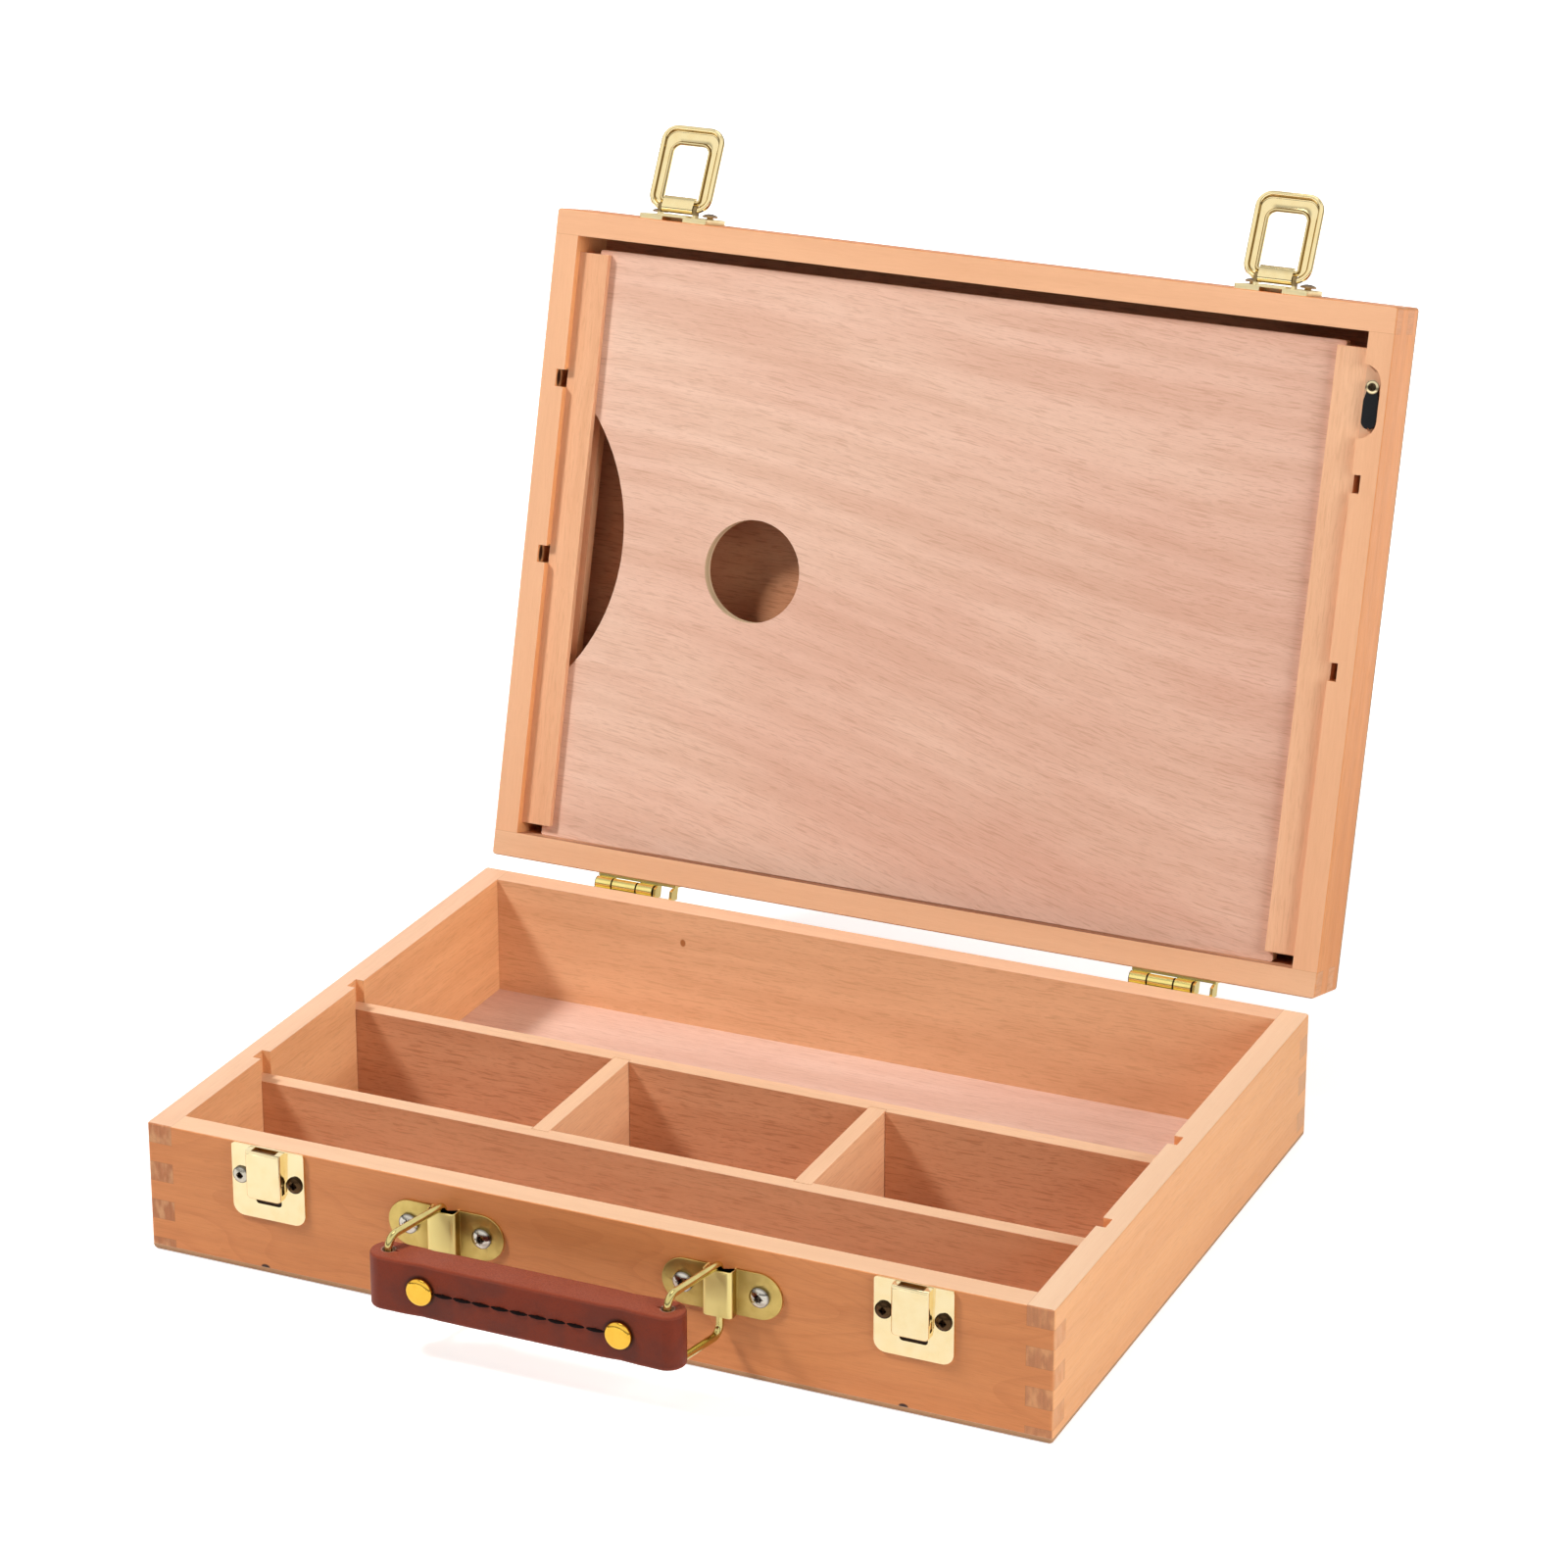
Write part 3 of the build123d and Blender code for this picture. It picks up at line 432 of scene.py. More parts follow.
beech("base_front_wall", "X", FRONT, PALE_END, base_lit_rim, wave=10.0, arc=0.28, fleck=0.13,
      marks_and_painted_light=hood_painted_shade_and_light + foot_dark_spots)
beech("base_back_wall", "X", srgb(237, 188, 145), PALE_END, base_lit_rim_left, fleck=0.3, marks_and_painted_light=knot)
beech("base_left_wall", "Y", srgb(244, 190, 138), srgb(190, 113, 69), base_lit_rim_left, fleck=0.25)
beech("base_right_wall", "Y", srgb(250, 184, 128), srgb(200, 130, 88), base_lit_rim_right,
      fleck=0.14, band=0.7)
beech("lid_front_wall", "X", FRONT, LID_END, lid_lit_rim, wave=10.0, fleck=0.15)
beech("lid_back_wall", "X", LID, LID_END, lid_lit_rim_back, fleck=0.2, marks_and_painted_light=palette_foot_shade)
beech("lid_left_wall", "Y", srgb(243, 178, 120), LID, lid_lit_rim, fleck=0.2, marks_and_painted_light=slot_shade_left)
beech("lid_right_wall", "Y", srgb(240, 160, 96), LID, lid_lit_rim, fleck=0.2,
      marks_and_painted_light=slot_shade_right + recess)
beech("divider_front", "X", srgb(224, 168, 126), CROSS, divider_lit_rim)
beech("divider_rear", "X", srgb(218, 160, 121), CROSS, divider_lit_rim, fleck=0.55)
beech("cross_divider_left", "Y", CROSS, CROSS, divider_lit_rim, fleck=0.25)
beech("cross_divider_right", "Y", CROSS, CROSS, divider_lit_rim, fleck=0.25)
beech("runner_left", "Y", LID, LID, fleck=0.2)
beech("runner_right", "Y", srgb(244, 194, 155), LID, fleck=0.2)
print("materials", len(bpy.data.materials))

# %% [markdown]
# ## The thin boards
# The floor, the lid's panel and the palette are plywood. Their faces are peeled veneer: the
# flecks are longer, the colour is pinker, and the figure may run aslant near a knot in the
# tree. Their edges show the layers. A point between the two faces is on an edge, whether
# it's round the outside or inside a hole.

# %% Plywood
FACE_MARGIN = 0.08


def plywood(name, tone, core, wave=7.0, band=1.0, fleck=0.5, slant=0.0,
            right=(1.0, 1.0, 1.0, 1.0)):
    """Veneered board. core is its edge's tone, slant how far the grain drifts aside, and
    right what its tone is multiplied by towards its right end."""
    material, tree, shader = new_material(name + "_plywood")
    place = closed_place(tree, in_lid(name))
    low, high = board_corners(name)
    across, along, up = axes_of(place)
    laid = laid_place(name, place, 0.0, 53.0)
    if slant:
        leftness = fade(across, HALF_WIDTH, -HALF_WIDTH)
        farness = fade(along, -320.0, 150.0)
        lean = times(times(leftness, farness), slant)
        laid = vector("ADD", laid, add(tree, "CombineXYZ", {1: lean}).outputs[0])
    parts = figured(laid, wave)
    colour = wood_colour(parts, tone, band, fleck, 0.0)
    colour = mix(parts["Clouds"], colour, (1.0, 0.965, 0.975, 1.0), "MULTIPLY")
    colour = mix(fade(across, -150.0, 190.0), colour, right, "MULTIPLY")

    inside = times(more_than(up, low[2] + FACE_MARGIN), less_than(up, high[2] - FACE_MARGIN))
    middle = line_at(up, (low[2] + high[2]) / 2, (high[2] - low[2]) / 3)
    rough_core = fade(noise(place, (0.9, 0.9, 5.0), 2.0), 0.35, 0.7)
    core_dark = shade(core, 0.72, 0.68, 0.62)
    layers = mix(times(middle, 0.45), core, core_dark)
    layers = mix(times(rough_core, 0.3), layers, core_dark)
    colour = mix(inside, colour, layers)

    fibres = parts["Fibres"]
    height = plus(times(fibres, 0.35), parts["Flecks"])
    finish_board(name, material, shader, colour, fade(fibres, 0.0, 1.0, 0.5, 0.62), height)


plywood("palette", srgb(237, 200, 178), srgb(222, 196, 160), band=1.2, fleck=0.36,
        slant=80.0, right=(0.94, 0.89, 0.88, 1.0))
plywood("lid_panel", srgb(216, 156, 116), srgb(176, 142, 112))
plywood("base_bottom_panel", srgb(236, 201, 184), srgb(202, 152, 110), fleck=0.3)

# %% [markdown]
# ## Brass and steel
# The furniture is pressed from thin sheet and plated. Plating mirrors its surroundings, so
# most of its look comes from the light. What makes it real is small: the sheet is never
# quite flat, the gloss is uneven, and handling leaves fine scratches.

# %% Metal finishes


def metal(name, tone, patch, gloss, ripple):
    """A plated or bare metal. stain is the tone of its duller patches."""
    material, tree, shader = new_material(name)
    place = object_place(tree)
    patches = fade(noise(place, (0.22, 0.22, 0.22), 3.0), 0.35, 0.75)
    scratches = fade(noise(place, (0.7, 6.0, 0.9), 3.0, 0.7), 0.45, 0.75)
    feed(shader, "Base Color", mix(times(patches, 0.35), tone, patch))
    feed(shader, "Roughness", plus(plus(times(patches, 0.06), gloss), times(scratches, 0.05)))
    feed(shader, "Metallic", 1.0)
    fine_bump(shader, noise(place, (0.16, 0.16, 0.16), 0.0), 1.0, ripple)
    return material


def screw_metal(name, tone, spots, radius, gloss, odd_tone=None, turned=False, drive=0.46):
    """A screw's metal, with painted shade: the drive recess and a ring at each head's rim are
    painted dark. spots are the heads' middles, odd_tone is the first head's own tone, and drive is
    the recess's share of the head."""
    material = metal(name, tone, shade(tone, 0.75, 0.72, 0.66), gloss, 0.02)
    tree, shader, colour = painted(material)
    place = object_place(tree)
    if odd_tone is not None:
        first = less_than(axes_of(place)[0], spots[0][0] + radius)
        colour = mix(first, colour, odd_tone)
    if turned:
        flat = vector("MULTIPLY", closed_place(tree), (1, 1, 0))
    else:
        flat = vector("MULTIPLY", place, (1, 0, 1))
    nearest = 100.0
    for spot in spots:
        nearest = least(vector("DISTANCE", flat, spot, "Value"), nearest)
    share = over(nearest, radius)
    # Painted shade: the drive recess and a ring at each head's rim are darkened.
    dark = most(fade(share, drive, drive - 0.14), fade(share, 0.80, 0.98, 0.0, 0.75))
    feed(shader, "Base Color", mix(dark, colour, shade(tone, 0.10, 0.08, 0.07)))
    return material


latch_brass = metal("latch_brass", srgb(248, 229, 182), srgb(243, 216, 152), 0.10, 0.06)
ring_brass = metal("ring_brass", srgb(218, 202, 134), srgb(188, 166, 88), 0.16, 0.03)
rivet_brass = metal("rivet_brass", srgb(252, 200, 78), srgb(240, 176, 52), 0.16, 0.03)
screw_brass = metal("screw_brass", srgb(206, 182, 118), srgb(150, 122, 72), 0.2, 0.03)
print("latch brass nodes", len(latch_brass.node_tree.nodes))

# %% Hinges with painted shade in the seams between their knuckles
HINGE_MIDDLE = 130.5
HINGE_SEAMS = (6.15, 14.65)  # mm from a hinge's middle
SEAM_WIDTH = 0.9
KNUCKLE_EDGE = (3.4, 3.1)
hinge_brass = metal("hinge_brass", srgb(255, 236, 150), srgb(244, 214, 112), 0.18, 0.05)
tree, shader, plain = painted(hinge_brass)
place = object_place(tree)
from_middle = gap(size_of(axes_of(place)[0]), HINGE_MIDDLE)
# Painted shade: the seams between the knuckles are darkened.
seam_shade = most(*(line_at(from_middle, seam, SEAM_WIDTH) for seam in HINGE_SEAMS))
from_axis = vector("DISTANCE", vector("MULTIPLY", place, (0, 1, 1)), HINGE_LINE / MM, "Value")
seam_shade = times(seam_shade, fade(from_axis, *KNUCKLE_EDGE))
feed(shader, "Base Color", mix(seam_shade, plain, srgb(78, 54, 22)))
print("hinge brass nodes", len(tree.nodes))

# %% Brackets with a painted highlight on the fold and painted shade on the flats beside it
FOLD_MIDDLE = 61.0
FOLD_HALF_WIDTH = 6.2
FOLD_BLUR = 0.3
bracket_brass = metal("bracket_brass", srgb(216, 190, 114), srgb(184, 155, 78), 0.36, 0.03)
tree, shader, plain = painted(bracket_brass)
from_fold = gap(size_of(axes_of(object_place(tree))[0]), FOLD_MIDDLE)
fold_highlight = fade(from_fold, FOLD_HALF_WIDTH + FOLD_BLUR, FOLD_HALF_WIDTH - FOLD_BLUR)
# Painted shade on the flats beside the fold and a painted highlight on the fold, which is also
# made less metallic.
colour = mix(fade(from_fold, 14.0, 7.0, 0.0, 0.5), plain, srgb(138, 102, 28))
feed(shader, "Base Color", mix(fold_highlight, colour, srgb(255, 235, 154)))
feed(shader, "Metallic", fade(fold_highlight, 0.0, 1.0, 1.0, 0.55))
print("bracket brass nodes", len(tree.nodes))

# %% Give the small parts their metal
BRONZE = srgb(118, 96, 72), srgb(66, 50, 38)
finishes = {
    "catch_screws": screw_metal(
        "catch_screw_bronze", srgb(86, 64, 42),
        [(x, 0.0, 44.0) for x in (-155.0, -130.0, 130.0, 155.0)],
        3.6, 0.22, srgb(206, 200, 184)),
    "bracket_screws": screw_metal(
        "bracket_screw_nickel", srgb(214, 208, 196),
        [(x, 0.0, 38.0) for x in (-77.5, -44.5, 44.5, 77.5)], 4.3, 0.14),
    "turn_button_screw": screw_metal(
        "button_screw", srgb(232, 214, 172), [(192.7, -115.0, 0.0)], 3.0, 0.18,
        turned=True, drive=0.68),
    "hinge_base_screws": screw_brass,
    "hinge_lid_screws": screw_brass,
    "hinge_pins": metal("pin_steel", srgb(190, 186, 176), srgb(140, 134, 124), 0.2, 0.03),
    "latch_pins": metal("dark_bronze", *BRONZE, 0.22, 0.03),
}
for side in SIDES:
    finishes[f"hinge_base_leaf_{side}"] = hinge_brass
    finishes[f"hinge_lid_leaf_{side}"] = hinge_brass
    finishes[f"handle_ring_{side}"] = ring_brass
for name, material in finishes.items():
    dress(nodes[name].data, material)
print("metal parts", len(finishes))

# %% [markdown]
# ## Black plastic
# The turn button is a small black moulding. Moulded plastic has a faint grain and a soft
# gloss.

# %% Black plastic
button_material, tree, shader = new_material("button_plastic")
grain = noise(object_place(tree), (2.5, 2.5, 2.5), 2.0)
feed(shader, "Base Color", mix(grain, srgb(10, 11, 13), srgb(26, 28, 31)))
feed(shader, "Roughness", fade(grain, 0.2, 0.8, 0.36, 0.5))
feed(shader, "Specular IOR Level", 0.25)
fine_bump(shader, grain, 0.3, 0.05)
print("plastic nodes", len(tree.nodes))

# %% [markdown]
# ## Modelling helpers
# In edit mode, an operator acts on what is selected. These helpers select by place, so the
# script can say "the top edge" as the hand would point at it.

# %% Selecting by place


def fresh():
    """Leaves edit mode and deselects every object."""
    if bpy.context.mode != "OBJECT":
        bpy.ops.object.mode_set(mode="OBJECT")
    bpy.ops.object.select_all(action="DESELECT")


def alone(piece):
    """Makes a piece the only one selected, and the active one."""
    fresh()
    piece.select_set(True)
    bpy.context.view_layer.objects.active = piece


def edit():
    """Enters edit mode."""
    bpy.ops.object.mode_set(mode="EDIT")


def pick(piece, kind, test):
    """Selects the vertices or faces whose middle passes a test, or the edges with both ends
    passing it, and stays in edit mode."""
    edit()
    bpy.ops.mesh.select_mode(type=kind)
    bpy.ops.mesh.select_all(action="DESELECT")
    bpy.ops.object.mode_set(mode="OBJECT")
    mesh = piece.data
    points = [vertex.co for vertex in mesh.vertices]
    if kind == "VERT":
        for vertex in mesh.vertices:
            vertex.select = test(vertex.co)
    elif kind == "EDGE":
        for edge in mesh.edges:
            edge.select = all(test(points[end]) for end in edge.vertices)
    else:
        for face in mesh.polygons:
            face.select = test(face.center)
    edit()


def pick_all():
    """Selects the whole mesh in edit mode."""
    bpy.ops.mesh.select_all(action="SELECT")


# %% Moving, joining and finishing
WELD_DISTANCE = 0.000005


def move(x=0.0, y=0.0, z=0.0):
    """Moves the selection, in metres."""
    bpy.ops.transform.translate(value=(x, y, z))


def extrude(step):
    """Pulls new faces or edges out of the selection."""
    bpy.ops.mesh.extrude_region_move(TRANSFORM_OT_translate={"value": step})


def freeze():
    """Writes the place of the selected objects into their meshes."""
    bpy.ops.object.transform_apply(location=True, rotation=True, scale=True)


def disc(radius, spot, turn, corners=48):
    """A flat disc with one face, in metres."""
    fresh()
    bpy.ops.mesh.primitive_circle_add(
        vertices=corners, radius=radius, fill_type="NGON", location=spot, rotation=(0, 0, turn))
    freeze()
    return bpy.context.object


def cylinder(radius, length, spot, turn=(0, 0, 0)):
    """A cylinder about a spot, in metres."""
    fresh()
    bpy.ops.mesh.primitive_cylinder_add(
        vertices=32, radius=radius, depth=length, location=spot, rotation=turn)
    freeze()
    return bpy.context.object


def copied(source):
    """A copy of an object, with a mesh of its own."""
    made = source.copy()
    made.data = source.data.copy()
    bpy.context.collection.objects.link(made)
    return made


def joined(pieces):
    """Several objects made into one."""
    alone(pieces[0])
    for piece in pieces:
        piece.select_set(True)
    freeze()
    bpy.ops.object.join()
    return bpy.context.object


def change(piece, kind, **settings):
    """Puts a modifier on a piece and applies it."""
    step = piece.modifiers.new("step", kind)
    for name, value in settings.items():
        setattr(step, name, value)
    alone(piece)
    bpy.ops.object.modifier_apply(modifier="step")


def combine(piece, other, operation):
    """Joins another shape into a piece, or cuts it away, and removes it."""
    change(piece, "BOOLEAN", operation=operation, object=other)
    bpy.data.objects.remove(other)


def settle(piece, name, angle=35.0):
    """Names a finished piece, points its faces outwards and smooths its shallow edges."""
    alone(piece)
    edit()
    bpy.ops.mesh.select_mode(type="VERT")
    pick_all()
    bpy.ops.mesh.remove_doubles(threshold=WELD_DISTANCE)
    bpy.ops.mesh.normals_make_consistent(inside=False)
    alone(piece)
    freeze()
    bpy.ops.object.shade_smooth_by_angle(angle=math.radians(angle))
    piece.name = name
    print(name, len(piece.data.vertices), "vertices")


# %% [markdown]
# ## Pressed brass
# Sheet that is stamped and bent has no sharp edge anywhere: the die rounds one side and the
# tumbling drum takes the burr off the other. That thin round is what catches the light and
# draws each part's outline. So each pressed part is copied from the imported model, its flat
# faces are joined up, and its edges are rounded.

# %% Round the pressed parts


def pressed(node_name, body, material, width, raised=None):
    """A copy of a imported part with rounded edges, shown in its place. width is in mm. raised
    lifts what is between two distances (mm) out from the lid's front by a third one."""
    source = nodes[node_name]
    piece = copied(source)
    piece.parent = None
    piece.matrix_world = source.matrix_world
    alone(piece)
    edit()
    pick_all()
    bpy.ops.mesh.remove_doubles(threshold=0.000002)
    bpy.ops.mesh.dissolve_limited(angle_limit=math.radians(1.0))
    fresh()
    if raised:
        low, high, rise = raised
        pick(piece, "VERT", lambda at: low < -HALF_DEPTH - (closing @ at).y / MM < high)
        move(*(closing_turn.inverted() @ Vector((0, -1, 0)) * rise * MM))
    change(piece, "BEVEL", width=width * MM, segments=3, limit_method="ANGLE",
           angle_limit=math.radians(42), use_clamp_overlap=True)
    settle(piece, node_name + "_pressed", 40.0)
    dress(piece.data, material)
    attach(piece, body)
    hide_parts(node_name)


plate_brass = metal("plate_brass", srgb(255, 238, 188), srgb(250, 228, 160), 0.42, 0.02)
tree, shader, plain = painted(plate_brass)
out = axes_of(closed_place(tree))[1]
ear_shade = fade(out, -HALF_DEPTH - 3.2, -HALF_DEPTH - 4.0, 0.0, 0.8)
feed(shader, "Base Color", mix(ear_shade, plain, srgb(120, 86, 30)))

loop_screw_metal = metal("loop_screw", *BRONZE, 0.3, 0.03)
tree, shader, plain = painted(loop_screw_metal)
out = axes_of(closed_place(tree))[1]
flank = fade(out, -HALF_DEPTH - 4.2, -HALF_DEPTH - 3.8)
feed(shader, "Base Color", mix(flank, plain, srgb(186, 154, 114)))

for side in SIDES:
    pressed(f"loop_plate_{side}", "lid", plate_brass, 0.25, (1.1, 1.3, 1.1))
    pressed(f"catch_plate_{side}", "base", latch_brass, 0.3)
    pressed(f"handle_bracket_{side}", "base", bracket_brass, 0.3)
pressed("loop_plate_screws", "lid", loop_screw_metal, 0.12, (1.15, 4.0, 2.0))

# %% [markdown]
# ## The latch loops
# A latch loop is drawn from one sheet into a gutter that runs round a window, so it's stiff
# though it's thin. The die leaves a broad round rim, a flat gutter floor and a narrow lip.
# Each of them is one step inwards from the last, so the loop starts as a flat plate and is
# inset again and again, a little up or down each time. A rolled knuckle carries its pin.

# %% Loop plate and its steps
LOOP_WIDTH = 31.0
LOOP_LENGTH = 40.0
LOOP_CORNER = 7.5
BACK_LEVEL = 1.1
FRONT_LEVEL = 2.3
PIVOT = Vector((0, -18.5, 1.6))  # mm, from the plate's middle
FREE_END_SHIFT = -2.15
PIVOT_END_SHIFT = -1.25
CORNER_SPREAD = 2.06
WINDOW_OFFSET = 4.9
RIM_STEPS = ((0.2, 0.5), (0.5, 0.35), (0.5, 0.05), (0.5, -0.15), (0.4, -0.45), (0.25, -0.7),
             (0.35, -0.45), (0.6, -0.15), (1.6, 0.0))
LIP_STEPS = ((0.3, 0.25), (0.2, 0.65), (0.3, 0.45), (0.4, 0.1), (0.4, -0.15), (0.25, -0.5))
BACK_STEPS = ((0.3, 0.7), (0.8, 0.4), (3.8, 0.0))
BACK_LIP_STEPS = ((1.35, 0.0), (0.5, -0.5))


def at_level(at, spot):
    """Whether a point lies at a height."""
    return abs(at.z - spot) < 0.02 * MM


def pick_middle(piece, spot):
    """Selects the face in the middle of the loop at a height."""
    pick(piece, "FACE", lambda at: at_level(at, spot) and at.xy.length < 3 * MM)


def step_in(piece, level, away, steps):
    """Insets the middle face at a level, step by step. away is the side that it faces."""
    for thickness, depth in steps:
        pick_middle(piece, level * MM)
        bpy.ops.mesh.inset(thickness=thickness * MM, depth=depth * MM)
        level += away * depth
    return level


def shape_window(piece, level):
    """Moves the ring just made at a level to where the window needs it."""
    half_x = (LOOP_WIDTH / 2 - WINDOW_OFFSET + 0.01) * MM
    half_y = (LOOP_LENGTH / 2 - WINDOW_OFFSET + 0.01) * MM
    spot = level * MM
    for side, shift in ((1, FREE_END_SHIFT), (-1, PIVOT_END_SHIFT)):
        pick(piece, "VERT", lambda at: (
            at_level(at, spot) and abs(at.x) < half_x and 0 < side * at.y < half_y))
        move(y=shift * MM)
    corner_x = (LOOP_WIDTH / 2 - WINDOW_OFFSET) * MM
    corner_y = (LOOP_LENGTH / 2 - WINDOW_OFFSET + FREE_END_SHIFT) * MM
    reach = (LOOP_CORNER - WINDOW_OFFSET + 0.2) * MM
    for side in (-1, 1):
        pick(piece, "VERT", lambda at: (
            at_level(at, spot) and abs(at.x) < half_x
            and side * at.x > corner_x - reach and corner_y - reach < at.y < corner_y + 0.01 * MM))
        bpy.ops.transform.resize(value=(CORNER_SPREAD, CORNER_SPREAD, 1),
                                 center_override=(side * corner_x, corner_y, spot))


loop = disc(LOOP_CORNER * MM, (0, 0, BACK_LEVEL * MM), math.pi / 48)
for side in (-1, 1):
    pick(loop, "VERT", lambda at: side * at.x > 0)
    move(x=side * (LOOP_WIDTH / 2 - LOOP_CORNER) * MM)
    pick(loop, "VERT", lambda at: side * at.y > 0)
    move(y=side * (LOOP_LENGTH / 2 - LOOP_CORNER) * MM)
pick_all()
extrude((0, 0, 1.2 * MM))
pick_all()
bpy.ops.mesh.normals_make_consistent(inside=False)
lips = []
for level, away, steps, lip_steps in (
        (FRONT_LEVEL, 1, RIM_STEPS, LIP_STEPS), (BACK_LEVEL, -1, BACK_STEPS, BACK_LIP_STEPS)):
    level = step_in(loop, level, away, steps)
    shape_window(loop, level)
    lips.append(step_in(loop, level, away, lip_steps))
for lip in lips:
    pick_middle(loop, lip * MM)
    bpy.ops.mesh.delete(type="FACE")
bpy.ops.mesh.select_mode(type="EDGE")
bpy.ops.mesh.select_all(action="DESELECT")
bpy.ops.mesh.select_non_manifold()
bpy.ops.mesh.bridge_edge_loops()
fresh()
print("loop faces", len(loop.data.polygons))

# %% Knuckle, ear slots and bore
KNUCKLE_RADIUS = 2.4
KNUCKLE_WIDTH = 15.4
SLOT_RADIUS = 2.9
SLOT_WIDTH = 2.0
BORE_RADIUS = 1.3


def rod(radius, width, middle_x):
    """A rod along X through the loop's pivot, in millimetres."""
    spot = (middle_x * MM, PIVOT.y * MM, PIVOT.z * MM)
    return cylinder(radius * MM, width * MM, spot, (0, math.pi / 2, 0))


knuckle = rod(KNUCKLE_RADIUS, KNUCKLE_WIDTH, 0.0)
pick(knuckle, "VERT", lambda at: at.y > (PIVOT.y + 0.4) * MM)
bpy.ops.transform.resize(value=(1, 1, 0.7), center_override=PIVOT * MM)
move(y=3.0 * MM)
for side in (-1, 1):
    slot_middle = side * (KNUCKLE_WIDTH / 2 + SLOT_WIDTH / 2)
    combine(loop, rod(SLOT_RADIUS, SLOT_WIDTH, slot_middle), "DIFFERENCE")
combine(loop, knuckle, "UNION")
combine(loop, rod(BORE_RADIUS, 2 * KNUCKLE_WIDTH, 0.0), "DIFFERENCE")
settle(loop, "latch_loop", 40.0)

# %% Hang the loops
PIVOT_LINE = Vector((0, -156.0, 64.7)) * MM
GUTTER_SHADE = 0.72
flat_to_latched = Matrix((
    (1, 0, 0, 0), (0, 0, 1, -157.6 * MM), (0, -1, 0, 46.2 * MM), (0, 0, 0, 1)))
loop_swing = turn_about(PIVOT_LINE, Matrix.Rotation(-OPEN_ANGLE, 4, "X"))
loop_place = closing.inverted() @ loop_swing @ flat_to_latched
loop_brass = metal("loop_brass", srgb(250, 230, 176), srgb(244, 212, 144), 0.08, 0.02)
tree, shader, plain = painted(loop_brass)
face_normal = loop_place.to_3x3() @ Vector((0, 0, 1))
above = vector("SUBTRACT", object_place(tree), loop_place.translation / MM)
above = vector("DOT_PRODUCT", above, face_normal, "Value")
gutter = times(times(fade(above, 1.36, 1.6), fade(above, 3.0, 2.3)), GUTTER_SHADE)
feed(shader, "Base Color", mix(gutter, plain, srgb(128, 96, 34)))
for side, x in zip(SIDES, (-LATCH_X, LATCH_X)):
    hung = copied(loop)
    hung.matrix_world = Matrix.Translation((x * MM, 0, 0)) @ loop_place
    settle(hung, f"latch_loop_{side}_drawn", 40.0)
    dress(hung.data, loop_brass)
    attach(hung, f"latch_loop_{side}")
    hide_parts(f"latch_loop_{side}")
bpy.data.objects.remove(loop)

# %% [markdown]
# ## The turn button
# The button is moulded, with a narrow eye under the screw and a wide lug that holds the
# palette. Its outline is what a band would take if it were stretched round three discs, and
# that is how it is made: three short cylinders, wrapped in one convex hull. The hole and the
# little notch at its tip are cut out, and the mould's round softens its face.

# %% Wrap three discs and cut the holes
BUTTON_PIVOT = Vector((192.7, -115.0, 60.5))  # mm, on the closed lid
BUTTON_THICKNESS = 2.2
BUTTON_DISCS = ((0.0, 2.0), (6.4, 3.5), (14.7, 3.5))
BUTTON_HOLES = ((0.0, 1.65), (18.3, 0.8))


def button_disc(along, radius, thickness):
    """An upright cylinder on the button's middle line."""
    spot = (BUTTON_PIVOT + Vector((0, along, 0))) * MM
    return cylinder(radius * MM, thickness * MM, spot)


button = joined([button_disc(*place, BUTTON_THICKNESS) for place in BUTTON_DISCS])
edit()
pick_all()
bpy.ops.mesh.convex_hull()
bpy.ops.mesh.dissolve_limited(angle_limit=math.radians(1.0))
face_level = (BUTTON_PIVOT.z - BUTTON_THICKNESS / 2) * MM
pick(button, "EDGE", lambda at: abs(at.z - face_level) < 0.01 * MM)
bpy.ops.mesh.bevel(offset=0.4 * MM, segments=3, affect="EDGES")
for place in BUTTON_HOLES:
    combine(button, button_disc(*place, 3 * BUTTON_THICKNESS), "DIFFERENCE")
button.matrix_world = closing.inverted()
settle(button, "turn_button_lug", 40.0)
dress(button.data, button_material)
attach(button, "turn_button")
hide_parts("turn_button")

# %% [markdown]
# ## The leather strap
# The real handle is a thick strap, cut from the hide and folded round a ring at each end.
# So it starts as a flat disc, stretched into a long oval. The oval is pulled up to the
# strap's height, its rims are rounded as a burnisher would, and its flanks are pinched where
# the rivets clamp it. The eyes for the rings are cut last, drop-shaped, because a folded
# strap closes slowly.

# %% Strap blank
HANDLE = Vector((-6.49, -186.28, 33.05)) * MM
HALF_HEIGHT = 11.7 * MM
END_RADIUS = 7.5 * MM
EYE_PLACES = (-61.0 * MM, 61.0 * MM)
RIVET_PLACES = (-43.5 * MM, 43.5 * MM)
strap_floor = HANDLE.z - HALF_HEIGHT
strap_top = HANDLE.z + HALF_HEIGHT

strap = disc(END_RADIUS, (HANDLE.x, HANDLE.y, strap_floor), math.pi / 48)
for place in EYE_PLACES:
    pick(strap, "VERT", lambda point: (point.x - HANDLE.x) * place > 0)
    move(x=place)
pick_all()
extrude((0, 0, 2 * HALF_HEIGHT))
for level in (strap_floor, strap_top):
    pick(strap, "EDGE", lambda point: abs(point.z - level) < 0.01 * MM)
    bpy.ops.mesh.bevel(offset=1.2 * MM, segments=4, affect="EDGES")
print("strap faces", len(strap.data.polygons))

